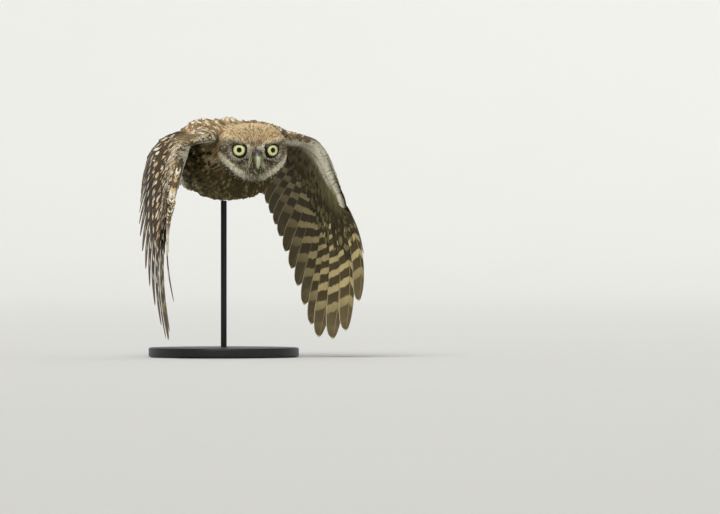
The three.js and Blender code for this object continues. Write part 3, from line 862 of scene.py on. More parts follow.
def face_colour(h):
    """Colour of the facial disc: grey, with white brows and cheeks and dark round them."""
    x, z = np.abs(h[..., 0]), h[..., 2]
    across, rise = zip(*CHEEK_LINE[::-1])
    place = {
        "across": x,
        "height": z,
        "from eye": np.hypot(x - EYE_SPACING / 2, z),
        "temple": x + 0.3 * z,
        "from jowl": segment_distance(x, z, JOWL_LINE),
        "from chin": np.hypot(h[..., 0] + 1.5, (z + 21) * 0.9),
        "below cheek": np.interp(x, across, rise) - z,
        "from gape": segment_distance(x, z, GAPE_LINE),
        "from brow": segment_distance(x, z - 0.5, BROW_LINE),
    }
    face = painted(np.broadcast_to(FACE_GREY, h.shape), FACE_PATCHES, place)
    cheek = smooth(3.6, 1.8, segment_distance(x, z, CHEEK_LINE))
    face = mixed(face, FACE_WHITE, cheek * (0.45 + 0.45 * smooth(7, 15, x)))
    return painted(face, PATCHES_OVER_CHEEK, place)


def head_colour(p):
    h = bird_to_head(p)
    place = {"across": np.abs(h[..., 0]), "behind": h[..., 1], "height": h[..., 2]}
    crown = painted(CROWN, CROWN_PATCHES, place)
    return painted(mixed(crown, face_colour(h), face_share(h)), RUFF_AND_SHADOW_PATCHES, place)


def body_colour(p):
    x, y, z = np.moveaxis(p, -1, 0)
    place = {"behind": y, "height": z, "back line": z + 0.05 * y}
    body = painted(BREAST, BODY_PATCHES, place)
    reach = NECK_REACH + NECK_LONGER * smooth(0, 12, z)
    neck = smooth(reach, 0.5 * reach, y) * (1 - head_share(p))
    above = smooth(-24, -12, z - 0.3 * np.abs(x) + 6)
    # the crown's tan, with its painted light from above, runs on over the neck
    body = mixed(body, CROWN, 0.75 * neck * above)
    # dark under the chin: partly its own dark band, partly painted shadow under the head
    return mixed(body, BREAST_STREAK, 0.7 * neck * (1 - above))


def plumage(p):
    """Ground colour at points in the bird's frame."""
    return mixed(body_colour(p), head_colour(p), head_share(p))


# The coat's lie: on the head away from a point inside the bill, near an eye away from the eye
LIE_FROM = (0, -22, -2)
EYE_SWAY = 12


def lie(p, normal):
    """The way the coat lies at points of the body."""
    h = bird_to_head(p)
    from_bill = unit(h - LIE_FROM)
    side = np.sign(h[..., :1]) * EYE_SPACING / 2
    eye = np.concatenate([side, np.full_like(side, -FACE_DEPTH), 0 * side], -1)
    from_eye = h - eye
    near = np.exp(-((np.linalg.norm(from_eye, axis=-1, keepdims=True) / EYE_SWAY) ** 2))
    head = spun(unit(unit(from_eye) * near + from_bill * (1 - near) + (0, 0.25, 0)), HEAD_YAW)
    x = p[..., 0]
    body = unit(np.stack([0 * x, 1 + 0 * x, -0.12 - 0.004 * np.abs(x)], -1))
    share = head_share(p)[..., None]
    aim = head * share + body * (1 - share)
    return unit(aim - normal * np.sum(aim * normal, -1, keepdims=True))


# Roots of feathers: tries for each that fits, least room that is reckoned with, least cell of the grid
TRIES, LEAST_ROOM, LEAST_CELL = 6.5, 0.1, 0.5
AROUND = [(i, j, k) for i in (-1, 0, 1) for j in (-1, 0, 1) for k in (-1, 0, 1)]
# Feathers over the skin: how steeply they rise from their roots, and how deep these stand in it
RISE_CURVE, ROOT_SINK = 0.9, 0.25


def stands_clear(spot, others, room):
    x, y, z = spot
    return all((x - a) ** 2 + (y - b) ** 2 + (z - c) ** 2 >= room * room for a, b, c in others)


def thinned(spots, rooms):
    """Numbers of the spots that find their room free of all kept before them."""
    cell = max(rooms.max(), LEAST_CELL)
    grid, kept = {}, []
    for index, (spot, room) in enumerate(zip(spots.tolist(), rooms.tolist())):
        if room <= 0:
            continue
        i, j, k = (int(x // cell) for x in spot)
        near = (other for a, b, c in AROUND for other in grid.get((i + a, j + b, k + c), ()))
        if stands_clear(spot, near, room):
            grid.setdefault((i, j, k), []).append(spot)
            kept.append(index)
    return kept


class Surface:
    """A body as something to grow feathers on."""

    def __init__(self, obj):
        mesh = obj.data
        mesh.calc_loop_triangles()
        self.points = mesh_points(mesh)
        tris = np.empty(len(mesh.loop_triangles) * 3, np.int32)
        mesh.loop_triangles.foreach_get("vertices", tris)
        self.tris = tris.reshape(-1, 3)
        self.tree = BVHTree.FromPolygons(self.points.tolist(), self.tris.tolist())

    def scatter(self, spacing, seed):
        """Roots at random over the body. Spacing says how much room each place asks round its
        root, and 0 where none grows."""
        rng = np.random.default_rng(seed)
        a, b, c = (self.points[self.tris[:, k]] for k in range(3))
        area = np.linalg.norm(np.cross(b - a, c - a), axis=-1) / 2
        room = spacing((a + b + c) / 3)
        weight = np.where(room > 0, area / np.maximum(room, LEAST_ROOM) ** 2, 0)
        count = int(weight.sum() * TRIES)
        tri = rng.choice(len(area), count, p=weight / weight.sum())
        u, v = rng.random((2, count))
        fold = u + v > 1
        u, v = np.where(fold, 1 - u, u)[:, None], np.where(fold, 1 - v, v)[:, None]
        spots = a[tri] * (1 - u - v) + b[tri] * u + c[tri] * v
        return spots[thinned(spots, spacing(spots))]

    def nearest(self, points):
        """The nearest points of the body and the ways out of it there."""
        found = [self.tree.find_nearest(p)[:2] for p in points.tolist()]
        return np.array([f[0] for f in found]), np.array([f[1] for f in found])

    def grow(self, roots, length, lift, rows, twist):
        """Middle lines and upper sides of feathers that follow the body from their roots."""
        place, normal = self.nearest(roots)
        heading = lie(place, normal)
        heading = unit(heading + np.cross(normal, heading) * np.tan(twist)[:, None])
        middle, ups = [], []
        for k in range(rows):
            t = k / (rows - 1)
            middle.append(place + normal * (lift[:, None] * (t**RISE_CURVE) - ROOT_SINK * (1 - t)))
            ups.append(normal)
            place, normal = self.nearest(place + heading * (length / (rows - 1))[:, None])
            heading = unit(heading - normal * np.sum(heading * normal, -1, keepdims=True))
        return np.stack(middle, 1), unit(np.stack(ups, 1))


# Pieces of the body

# How deep the coat is: over the body, over the head and at the head's two ends
BODY_DEPTH, HEAD_DEPTH, HEAD_END_DEPTH = 3.6, 2.0, 1.0
# Swellings of the flesh: centre and radii, and the roll and turn of each brow
RUMP = ((0, 119, -12), (8, 11, 5.5))
BILL_ROOT = ((6.8, -16.5, -1.5), (3.6, 4.6, 6.5))
BROW = ((14, -16.9, 7.2), (10.8, 4.6, 2.3))
BROW_ROLL, BROW_TURN = math.radians(-17), math.radians(-14)
FLESH_NODES = ("head", "neck", "torso", "leg_left", "leg_right", "foot_left", "foot_right")


def flesh():
    """Closed bodies of trunk, head, brows, legs and toes, inside the coat by its depth."""
    parts = [
        loft(station_rings(BODY, BODY_DEPTH, BODY_DEPTH)),
        loft(head_to_bird(station_rings(HEAD, HEAD_DEPTH, HEAD_END_DEPTH))),
        loft(ball(*RUMP)),
    ]
    for side in (-1, 1):
        to_side = np.array([side, 1, 1])
        bill_root = ball(to_side * BILL_ROOT[0], BILL_ROOT[1])
        brow = ball(to_side * BROW[0], BROW[1], BROW_ROLL * side, BROW_TURN * side)
        limbs = [tube_rings(LEG, LEG_RADII, 14, 14)]
        limbs += [tube_rings(toe, TOE_RADII, 8, 12) for toe in TOES]
        parts += [loft(head_to_bird(swelling)) for swelling in (bill_root, brow)]
        parts += [loft(rings * to_side) for rings in limbs]
    return parts


def ground():
    """The body without its wings, to grow the coat on. It isn't part of the owl."""
    body = merged("ground", flesh())
    surface = Surface(body)
    bpy.data.objects.remove(body)
    return surface


# The skin is seen only between feathers, so its colours are darker than theirs: painted shade, with
# patches of painted shadow
SKIN_PAINTED_SHADE = 0.55
SKIN_SHADOW = (0.55, 0.5, 0.45)


def colour_skin(obj):
    p = mesh_points(obj.data)
    tint = np.concatenate([plumage(p) * SKIN_PAINTED_SHADE, np.ones((len(p), 1))], -1)
    put_attribute(obj.data, "tint", "FLOAT_COLOR", tint)


def skin_material():
    n = Nodes("skin")
    tint = n.attribute("tint").outputs["Color"]
    down = n.noise(1500.0, 4.0)
    n.bump(down, 0.0004, 0.8)
    # painted shadow in patches over the skin
    shadow = n.mix(1.0, tint, SKIN_SHADOW, "MULTIPLY")
    return n.finish(n.mix(n.ramp(down, 0.35, 0.65), shadow, tint), 0.85)


def give(obj, material, slot, *nodes):
    """Gives a piece its only material and its body, and hides the CAD nodes that it stands for. The slot
    is not used.
    """
    obj.data.materials.clear()
    obj.data.materials.append(material)
    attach(obj, "root")
    if nodes:
        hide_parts(*nodes)


def build_skin():
    arms = [loft(arm_rings() * (side, 1, 1)) for side in (-1, 1)]
    skin = merged("skin", flesh() + arms)
    colour_skin(skin)
    give(skin, skin_material(), "body_feathers", *FLESH_NODES)


# Height of the belly over each leg by place along Y: below it, behind the thigh's front and under
# its top, a point belongs to the leg
BELLY_AT, BELLY_HEIGHT = (66, 86, 104, 118, 140), (-40, -29, -22, -17, -16)
THIGH_FRONT, THIGH_TOP = 70, -17
# Room for each feather and its length: on a leg by place along Y; on the body at the neck, and what
# the back adds; on the head over crown and face, and what nape and chin add
LEG_AT, LEG_ROOM, LEG_LENGTH = (66, 100, 122, 137), (2.6, 2.2, 1.5, 1.2), (9, 7, 3.4, 2.4)
BODY_ROOM, BODY_LENGTH = (2.2, 0.9), (8.5, 7)
CROWN_ROOM, NAPE_ROOM, FACE_ROOM = 0.95, 0.7, -0.07
CROWN_LENGTH, FACE_LENGTH = (4.1, 3.7), (2.9, 3.2)
# Nothing grows this near to the middle of an eye, or to that of the bill at this height
EYE_CLEAR, BILL_CLEAR, BILL_HEIGHT, BILL_FRONT = 5.5, 3.6, -5, -14


def on_leg(p):
    y, z = p[..., 1], p[..., 2]
    return (z < THIGH_TOP) & (y > THIGH_FRONT) & (z < np.interp(y, BELLY_AT, BELLY_HEIGHT))


def spacing_of(p):
    """Room for each feather at points of the body, or 0 where none grow."""
    h = bird_to_head(p)
    x, y, z = np.abs(h[..., 0]), h[..., 1], h[..., 2]
    head = CROWN_ROOM + FACE_ROOM * face_share(h) + NAPE_ROOM * smooth(0, 20, y)
    body = BODY_ROOM[0] + BODY_ROOM[1] * smooth(5, 40, p[..., 1])
    room = np.where(head_share(p) > 0.5, head, body)
    room = np.where(on_leg(p), np.interp(p[..., 1], LEG_AT, LEG_ROOM), room)
    eye = np.linalg.norm(np.stack([x - EYE_SPACING / 2, y + FACE_DEPTH, z], -1), axis=-1)
    at_bill = (np.hypot(x, z - BILL_HEIGHT) < BILL_CLEAR) & (y < BILL_FRONT)
    return np.where((eye < EYE_CLEAR) | at_bill, 0, room)


def length_of(p):
    h = bird_to_head(p)
    face, share = face_share(h), head_share(p)
    crown = CROWN_LENGTH[0] + CROWN_LENGTH[1] * smooth(0, 20, h[..., 1])
    disc = FACE_LENGTH[0] + FACE_LENGTH[1] * smooth(-8, -18, h[..., 2])
    body = BODY_LENGTH[0] + BODY_LENGTH[1] * smooth(5, 45, p[..., 1])
    size = body * (1 - share) + (crown * (1 - face) + disc * face) * share
    return np.where(on_leg(p), np.interp(p[..., 1], LEG_AT, LEG_LENGTH), size)


def marks(kinds, count, rng, bias=0.0):
    """One mark for each feather, drawn from kinds: share of feathers, colour, strength, place and
    half length along the feather and half width."""
    chance = np.clip(rng.random(count) + bias, 0, 0.999)
    mark, pattern = np.zeros((count, 4)), np.ones((count, 3))
    start = 0.0
    for share, colour, strength, *shape in kinds:
        mine = (chance >= start) & (chance < start + share)
        mark[mine] = (*colour, strength)
        pattern[mine] = shape
        start += share
    return mark, pattern * rng.uniform(0.8, 1.2, (count, 3))


SPOTS = [
    (0.42, WHITE_SPOT, 0.92, 0.74, 0.2, 0.42),
    (0.26, BUFF_SPOT, 0.85, 0.7, 0.26, 0.45),
    (0.26, WING_BROWN, 0.8, 0.5, 0.42, 0.6),
]
STREAKS = [
    (0.3, BREAST_PALE, 0.72, 0.74, 0.24, 0.5),
    (0.52, BREAST_STREAK, 0.95, 0.5, 0.5, 0.6),
    (0.14, BREAST_STREAK, 0.9, 0.8, 0.16, 0.9),
]
FLECKS = [
    (0.5, CROWN_MARK, 0.75, 0.74, 0.34, 0.3),
    (0.36, CROWN_DARK, 0.75, 0.45, 0.4, 0.6),
]
FACE_STREAKS = [
    (0.32, FACE_DARK, 0.7, 0.5, 0.6, 0.3),
    (0.3, FACE_WHITE, 0.6, 0.75, 0.35, 0.35),
]
BRISTLE_ENDS = [(0.5, FACE_DARK, 0.8, 0.95, 0.3, 2.0)]

# Pieces of the coat: slot, kinds of mark, width next to length, rows of points, rise over the skin and
# what the back adds to it, how far headings and colours stray, and how much paler the throat's marks are
COAT = {
    "crown_feathers": ("crown_feathers", FLECKS, 0.5, 5, (1.1, 0), 0.4, 0.45, 0),
    "face_feathers": ("crown_feathers", FACE_STREAKS, 0.5, 5, (1.0, 0), 0.2, 0.45, 0),
    "mantle_feathers": ("body_feathers", SPOTS, 0.6, 6, (3.0, 2.2), 0.2, 1.5, 0.6),
    "breast_feathers": ("body_feathers", STREAKS, 0.56, 6, (3.0, 2.2), 0.2, 1.5, 0.6),
}


def coat_regions(roots):
    """Which roots belong to each piece of the coat."""
    head = head_share(roots) > 0.5
    face = head & (face_share(bird_to_head(roots)) > 0.5)
    upper = roots[:, 2] + 0.05 * roots[:, 1] > 2
    return {
        "crown_feathers": head & ~face,
        "face_feathers": face,
        "mantle_feathers": ~head & upper,
        "breast_feathers": ~head & ~upper,
    }


def coat_vanes(surface, spots, look, rng):
    """Feathers of one piece of the coat, rooted at spots."""
    _, kinds, slender, rows, (rise, back_rise), stray, blur, pale_throat = look
    count = len(spots)
    size = length_of(spots) * rng.uniform(0.85, 1.2, count)
    depth = rise + back_rise * smooth(2, 12, spots[:, 2])
    depth = depth * np.clip(size / 5, 0.3, 1) * rng.uniform(0.7, 1.2, count)
    middle, up = surface.grow(spots, size, depth, rows, rng.normal(0, 1, count) * stray)
    wide = size[:, None] * slender * rounded(np.linspace(0, 1, rows), end=0.15)
    mark, pattern = marks(kinds, count, rng, 0.16 * wander(spots, 26, 3))
    vent = smooth(80, 96, spots[:, 1]) * smooth(-10, -18, spots[:, 2])
    throat = smooth(30, 14, spots[:, 1]) * smooth(-12, -20, spots[:, 2])
    mark[:, 3] *= (1 - vent) * (1 - pale_throat * throat)
    astray = rng.normal(0, 1, (count, 1, 3)) * blur
    tint = plumage(middle + astray) * rng.uniform(0.8, 1.2, (count, 1, 1))
    return Vanes(middle, up, wide, 0.25, tint, pattern, mark, sag=wide * 0.12)


def build_coat():
    surface = ground()
    roots = surface.scatter(spacing_of, 11)
    regions = coat_regions(roots)
    material = plumage_material("small_feathers")
    rng = np.random.default_rng(5)
    for name, look in COAT.items():
        vanes = coat_vanes(surface, roots[regions[name]], look, rng)
        give(vanes.mesh(name), material, look[0])


BRISTLES, BRISTLE_ROWS = 90, 6
BRISTLE_WIDTH, BRISTLE_THICKNESS = 0.75, 0.16


def build_bristles():
    """Fine bristles that curve down and forward over the corners of the bill."""
    rng = np.random.default_rng(8)
    side = np.where(rng.random(BRISTLES) < 0.5, -1, 1)
    turn = rng.uniform(-0.55, 1.25, BRISTLES)
    root_x = side * (3.4 + 1.6 * np.sin(turn) ** 2)
    root = np.stack([root_x, 0 * turn - 19.6, -4.5 - 7 * np.sin(turn)], -1)
    root = root + rng.normal(0, 0.5, root.shape) * (1, 0.3, 1)
    aside = side * (0.35 + 0.5 * rng.random(BRISTLES))
    aim = unit(np.stack([aside, 0 * turn - 0.55, -0.75 - 0.3 * turn], -1))
    size = rng.uniform(4.5, 7.5, (BRISTLES, 1, 1))
    t = np.linspace(0, 1, BRISTLE_ROWS)
    bend = np.stack([0 * t, 0.25 * t * t, -0.35 * t * t], -1)
    middle = head_to_bird(root[:, None] + size * (aim[:, None] * t[:, None] + bend))
    up = np.broadcast_to(spun((0, -1, 0), HEAD_YAW), middle.shape)
    tint = mixed(FACE_PALE, FACE_WHITE, rng.random(BRISTLES)) * rng.uniform(0.6, 1.1, (BRISTLES, 1))
    mark, pattern = marks(BRISTLE_ENDS, BRISTLES, rng)
    width = BRISTLE_WIDTH * rounded(t, 0.2, 0.7, 0.15, 0.2)
    vanes = Vanes(middle, up, width, BRISTLE_THICKNESS, tint[:, None], pattern, mark)
    give(vanes.mesh("bristles"), bpy.data.materials["small_feathers"], "crown_feathers")


# Wings and tail

# Rows of points along and columns across the vanes of quills, coverts and tail feathers
QUILL_ROWS, QUILL_COLUMNS = 34, 11
COVERT_ROWS, COVERT_COLUMNS = 9, 5
TAIL_ROWS, TAIL_COLUMNS = 30, 9
# Large feathers on the bake's own square: how many in a row, the height of a row and its margin, and
# the size of each feather's patch
ATLAS_COLUMNS, ATLAS_ROW, ATLAS_MARGIN = 12, 0.25, 0.004
QUILL_PATCH = (0.075, 0.23)
# The coverts' unwrap: how much of the wing's depth it takes, and its share of the square for each side
COVERT_DEPTH, COVERT_SHARE, COVERT_MARGIN = 120, 0.4, 0.05

# Depth that the coverts reach down the quills, by place along the wing
REACH_AT, REACH = (0, 5, 8, 9), (0.42, 0.42, 0.4, 0.3)
# How far the brown upper coverts reach round the leading edge, past the white lining, along the wing
WRAP_AT = (0, 2.5, 3.3, 4, 5, 6, 8, 9)
WRAP = {
    "left": (-0.4, -0.6, -1.2, -2.2, -3.0, -3.0, -2.4, -1.4),
    "right": (4.0, 3.6, 1.4, -0.6, -1.3, 0.4, 1.4, 0.8),
}
# How far coverts stand off the quills below: under the wing by place along it, and above the wing
CLEAR_AT, CLEAR_UNDER, CLEAR_UPPER = (6.5, 8.5), (2.4, 0.5), 0.8
# How much narrower coverts are towards the wing's tip
NARROW_AT, NARROW = (0, 5, 7, 8, 9), (1, 1, 0.8, 0.6, 0.42)
# Coverts wider than this lean on one another as the quills do
LARGE_COVERT = 8
COVERT_THICKNESS, COVERT_SAG = 0.3, 0.1

# Kinds of mark on coverts and scapulars
GREAT_SPOTS = [
    (0.6, WHITE_SPOT, 0.9, 0.82, 0.1, -0.32),
    (0.4, BUFF_SPOT, 0.85, 0.8, 0.11, -0.32),
]
MIDDLE_SPOTS = [
    (0.3, WHITE_SPOT, 0.9, 0.8, 0.13, -0.3),
    (0.25, WHITE_SPOT, 0.9, 0.74, 0.2, 0.4),
    (0.3, BUFF_SPOT, 0.85, 0.72, 0.2, 0.4),
]
SMALL_SPOTS = [
    (0.38, WHITE_SPOT, 0.9, 0.66, 0.34, 0.5),
    (0.26, BUFF_SPOT, 0.85, 0.6, 0.38, 0.55),
    (0.3, WING_BROWN, 0.9, 0.55, 0.42, 0.7),
]
GREAT_UNDER = [(1.0, UNDERWING_SPOT, 0.85, 0.78, 0.11, 0.62)]
MIDDLE_UNDER = [
    (0.55, UNDERWING_SPOT, 0.6, 0.72, 0.16, 0.5),
    (0.4, UNDERWING_MARK, 0.9, 0.9, 0.3, 0.9),
]
SMALL_UNDER = [(0.3, UNDERWING_MARK, 0.45, 0.8, 0.3, 0.45)]
EDGE_SPOTS = [(0.55, WHITE_SPOT, 0.95, 0.66, 0.24, 1.4), (0.25, BUFF_SPOT, 0.9, 0.84, 0.2, 1.4)]
SCAPULAR_SPOTS = [
    (0.46, WHITE_SPOT, 0.92, 0.76, 0.18, 0.42),
    (0.28, BUFF_SPOT, 0.85, 0.7, 0.2, 0.42),
    (0.22, WING_BROWN, 0.85, 0.5, 0.42, 0.6),
]

# Tiers of coverts, from the quills forward: start and end as shares of the covered depth, count,
# width, rise off the wing at root and tip, and kinds of mark
UPPER_TIERS = [
    (0.34, 1.00, 25, 13.5, (0.3, 1.8), GREAT_SPOTS),
    (0.25, 0.72, 36, 10.0, (0.6, 2.2), MIDDLE_SPOTS),
    (0.20, 0.60, 46, 7.6, (0.8, 2.4), MIDDLE_SPOTS),
    (0.15, 0.50, 54, 6.6, (0.9, 2.4), MIDDLE_SPOTS),
    (0.11, 0.40, 62, 5.6, (0.8, 2.3), SMALL_SPOTS),
    (0.08, 0.32, 72, 5.0, (0.7, 2.2), SMALL_SPOTS),
    (0.05, 0.25, 80, 4.4, (0.6, 2.1), SMALL_SPOTS),
    (0.03, 0.18, 88, 4.0, (0.6, 2.0), SMALL_SPOTS),
    (0.0, 0.12, 94, 3.7, (0.5, 1.8), SMALL_SPOTS),
    (-0.02, 0.07, 98, 3.4, (0.4, 1.5), SMALL_SPOTS),
]
LOWER_TIERS = [
    (0.46, 1.08, 26, 13.0, (0.3, 1.0), GREAT_UNDER),
    (0.36, 0.91, 29, 12.0, (0.5, 1.3), GREAT_UNDER),
    (0.29, 0.76, 34, 10.5, (0.6, 1.6), MIDDLE_UNDER),
    (0.22, 0.64, 40, 8.5, (0.8, 2.0), MIDDLE_UNDER),
    (0.14, 0.47, 48, 6.8, (0.9, 2.2), SMALL_UNDER),
    (0.08, 0.33, 56, 5.6, (0.8, 2.0), SMALL_UNDER),
    (0.03, 0.21, 66, 4.8, (0.6, 1.8), []),
    (0.0, 0.13, 78, 4.0, (0.4, 1.5), []),
]

# Number of pale bars from the tip of a quill to a place on it, as a polynomial of the millimetres
BAR_RISE = (0.7325, 0.0313, 0.000365)
# Colours of the quills' upper and under sides, the bars' half length and half width, and how far from
# the tip the pale hem fades
QUILL_UPPER = dict(
    ground=linear((60, 46, 28)),
    end=linear((92, 74, 50)),
    bar=linear((226, 210, 174)),
    fringe=linear((196, 180, 146)),
    shaft=linear((52, 38, 24)),
    half_bar=0.15,
    half_web=0.3,
    hem=24.0,
)
QUILL_UNDER = dict(
    ground=linear((74, 62, 36)),
    end=linear((96, 84, 56)),
    bar=linear((184, 168, 120)),
    fringe=linear((202, 192, 154)),
    shaft=linear((146, 130, 90)),
    half_bar=0.225,
    half_web=0.53,
    hem=75.0,
)


def even(start, end, count, share=0.4):
    """Places along the wing, evenly spaced by distance over its surface."""
    q = np.linspace(start, end, 400)
    base, tip, _, _ = shaft_frame(q)
    run = run_along(base * (1 - share) + tip * share)
    return np.interp(np.linspace(0, run[-1], count), run, q)


def remiges():
    """Places, widths and leading shares of all quills, from the body outwards."""
    q = np.concatenate([TERTIALS, SECONDARIES, PRIMARIES])
    outer = np.maximum(0, q - 6.8)
    wide = np.where(q < 1.6, 16, np.where(q < 5, 18, 19 - 2.6 * outer))
    share = np.where(q < 5, 0.4, 0.38 - 0.05 * outer)
    return q, wide, share


def atlas_corners(count):
    """Places for large feathers in the bake's own square."""
    i = np.arange(count)
    down = 1 - (i // ATLAS_COLUMNS + 1) * ATLAS_ROW
    return np.stack([(i % ATLAS_COLUMNS) / ATLAS_COLUMNS, down], -1) + ATLAS_MARGIN


def wing_quills(side):
    q, wide, share = remiges()
    count = len(q)
    r = np.linspace(0.0, 1.0, QUILL_ROWS) ** 0.9
    middle = wing_point(*np.broadcast_arrays(q[:, None], r))
    out = np.repeat(shaft_frame(q)[2][:, None], QUILL_ROWS, 1)
    run = run_along(middle)
    from_tip = run[:, -1:] - run
    root = np.interp(q, [0, 7, 9], [0.4, 0.4, 0.1])[:, None]
    width = wide[:, None] * rounded(r, 0.25, root, 0.1, 0.74, 2.3)
    rng = np.random.default_rng(41)
    own = rng.uniform(-0.12, 0.12, (count, 1)) + 0 * from_tip
    # Tone differs at random; towards the body the quills are darker and their bars fainter, painted
    # shade of the inner wing
    tone = rng.uniform(0.88, 1.1, count) * np.interp(q, [0, 4, 6], [0.85, 0.9, 1])
    tint = np.ones(3) * tone[:, None, None]
    pattern = np.stack([from_tip, 0 * own, own], -1)
    strength = np.interp(q, [0, 4.5, 6], [0.65, 0.7, 1])[:, None, None]
    vanes = Vanes(
        middle, out, width, 0.5, tint, pattern,
        share=share[:, None], sag=0.05 * width, lean=LEAN, strength=strength,
    )
    corners = atlas_corners(count)
    return vanes.mesh(f"wing_{side}_quills", QUILL_COLUMNS, side == "right", corners, QUILL_PATCH)


def wing_corners(q, s, face):
    """Each covert's place on an unwrap of the wing: along it, and back from its leading edge."""
    back = np.clip(s / COVERT_DEPTH, -COVERT_MARGIN, 1) * COVERT_SHARE + COVERT_MARGIN
    return np.stack([np.clip(q / 9.3, 0, 1) * 0.98, back + (0.5 if face < 0 else 0)], -1)


def covered(q):
    """How far behind the leading edge the coverts reach, in millimetres."""
    base, tip, _, _ = shaft_frame(q)
    chord = np.linalg.norm(base - along(WING_LEAD, q), axis=-1)
    reach = np.linalg.norm(tip - base, axis=-1)
    return chord + reach * np.interp(q, REACH_AT, REACH)


def upper_tint(q, s, rng):
    """Dark behind, mottled tan towards the leading edge."""
    front = smooth(30, 10, s) * smooth(7.5, 5, q)
    return mixed(WING_BROWN, WING_TAN, 0.55 * front) * rng.uniform(0.7, 1.25, (len(q), 1, 1))


def under_tint(q, s, rng):
    """White along the leading edge, olive and darker behind it, with painted shade towards the body and
    painted light on the white near the shoulder.
    """
    band = np.interp(q, [0, 3, 5, 7, 9], [14, 19, 12, 6.5, 4.5])
    # painted shade: darker towards the body, under the inner wing
    inner = np.interp(q, [0, 2.5, 5], [0.72, 0.85, 1]) * rng.uniform(0.8, 1.12, (len(q), 1))
    white = smooth(1.2, 0.5, s / band)
    # painted light: the white lining brighter near the shoulder
    inner = inner * (1 - white) + np.interp(q, [2, 4.5], [1.15, 1.0]) * white
    lining = mixed(UNDERWING, UNDERWING_OLIVE, smooth(0.8, 1.7, s / band))
    return mixed(lining, UNDERWING_DARK, smooth(2.4, 4.2, s / band)) * inner[..., None]


# The upper coverts and those under the wing: side of the wing, tiers and their colours
COVERTS = ((1, UPPER_TIERS, upper_tint), (-1, LOWER_TIERS, under_tint))


def tier(side, face, q, row, look, rng):
    """One tier of coverts at places q along the wing."""
    from_share, to_share, count, wide, rise, _ = row
    depth = covered(q)
    t = np.linspace(0, 1, COVERT_ROWS)
    start = (depth * from_share)[:, None] + rng.normal(0, 0.6, (count, 1))
    end = (depth * to_share)[:, None] * rng.uniform(0.95, 1.05, (count, 1))
    wrap = -face * np.interp(q, WRAP_AT, WRAP[side])[:, None] * smooth(9, 3, start)
    s = start + wrap + (end - start) * t
    base = along(WING_BASE, q) - along(WING_LEAD, q)
    clear = np.interp(q, CLEAR_AT, CLEAR_UNDER)[:, None] if face < 0 else CLEAR_UPPER
    clear = clear * smooth(0.75, 1.15, s / np.linalg.norm(base, axis=-1)[:, None])
    along_edge = 0.04 + 0.3 * smooth(9, 4, wide)
    slide = (along_edge + rng.normal(0, 0.3, (count, 1)) * along_edge) * t
    point, normal = wing_side(np.minimum(q[:, None] + slide, LAST_QUILL), s, face)
    lift = rise[0] + (rise[1] - rise[0]) * t + clear
    profile = rounded(t, 0.3, 0.5, 0.14, 0.55, 2.2) * rng.uniform(0.9, 1.1, (count, 1))
    width = wide * profile * np.interp(q, NARROW_AT, NARROW)[:, None]
    lean = LEAN if wide > LARGE_COVERT else LEAN / 3
    middle = point + normal * lift[..., None]
    vanes = Vanes(middle, normal, width, COVERT_THICKNESS, *look, sag=width * COVERT_SAG, lean=lean)
    return vanes, wing_corners(q, s[:, 0], face)


def wing_coverts(side):
    rng = np.random.default_rng(21 if side == "left" else 22)
    made = []
    for face, tiers, tint in COVERTS:
        for index, row in enumerate(tiers):
            start, end, count, *_, kinds = row
            q = even(0.8, LAST_QUILL, count) + rng.normal(0, 0.02, count)
            q = np.clip(q, 0.7, LAST_QUILL)
            mark, pattern = marks(kinds, count, rng)
            if face < 0:
                mark[:, 3] *= np.interp(q, [0, 4.5, 5.5], [0.7, 0.8, 1])
            s = covered(q)[:, None] * np.linspace(start, end, COVERT_ROWS)
            look = (tint(q[:, None], s, rng), pattern, mark)
            vanes, corners = tier(side, face, q, row, look, rng)
            made.append(vanes.mesh(f"covert_{index}", COVERT_COLUMNS, side == "right", corners))
    made.append(edge_feathers(side))
    return joined(f"wing_{side}_coverts", made)


# Feathers along the leading edge of the hand: how many, where along the outermost quill their line
# runs on and how far before its shaft, and how far they face forward on each wing
EDGE_FEATHERS = 30
EDGE_START = 5.1
EDGE_ON_QUILL = np.array([0.1, 0.25, 0.4, 0.55])
EDGE_BEFORE_SHAFT = np.array([1.8, 2.8, 3.0, 3.0])
EDGE_FORWARD = {"left": 0.3, "right": 0.85}
# Their width from the wrist out, by share of the edge
EDGE_WIDTH_AT, EDGE_WIDTH = (0, 0.1, 0.45, 0.7, 1), (3.5, 6.2, 5.0, 2.6, 1.5)


def hand_edge(forward):
    """Leading edge from the wrist down and on along the outermost quill, with the way out of it."""
    q = np.linspace(EDGE_START, LAST_QUILL, 14)
    _, _, out, _ = shaft_frame(q)
    line = along(WING_LEAD, q)
    ahead = unit(line - along(WING_BASE, q))
    outermost = np.full(len(EDGE_ON_QUILL), LAST_QUILL)
    _, _, quill_out, lead = shaft_frame(outermost)
    on_quill = wing_point(outermost, EDGE_ON_QUILL) + lead * EDGE_BEFORE_SHAFT[:, None]
    line = np.concatenate([line, on_quill])
    out = np.concatenate([out, quill_out])
    return line, unit(out * (1 - forward) + np.concatenate([ahead, lead]) * forward)


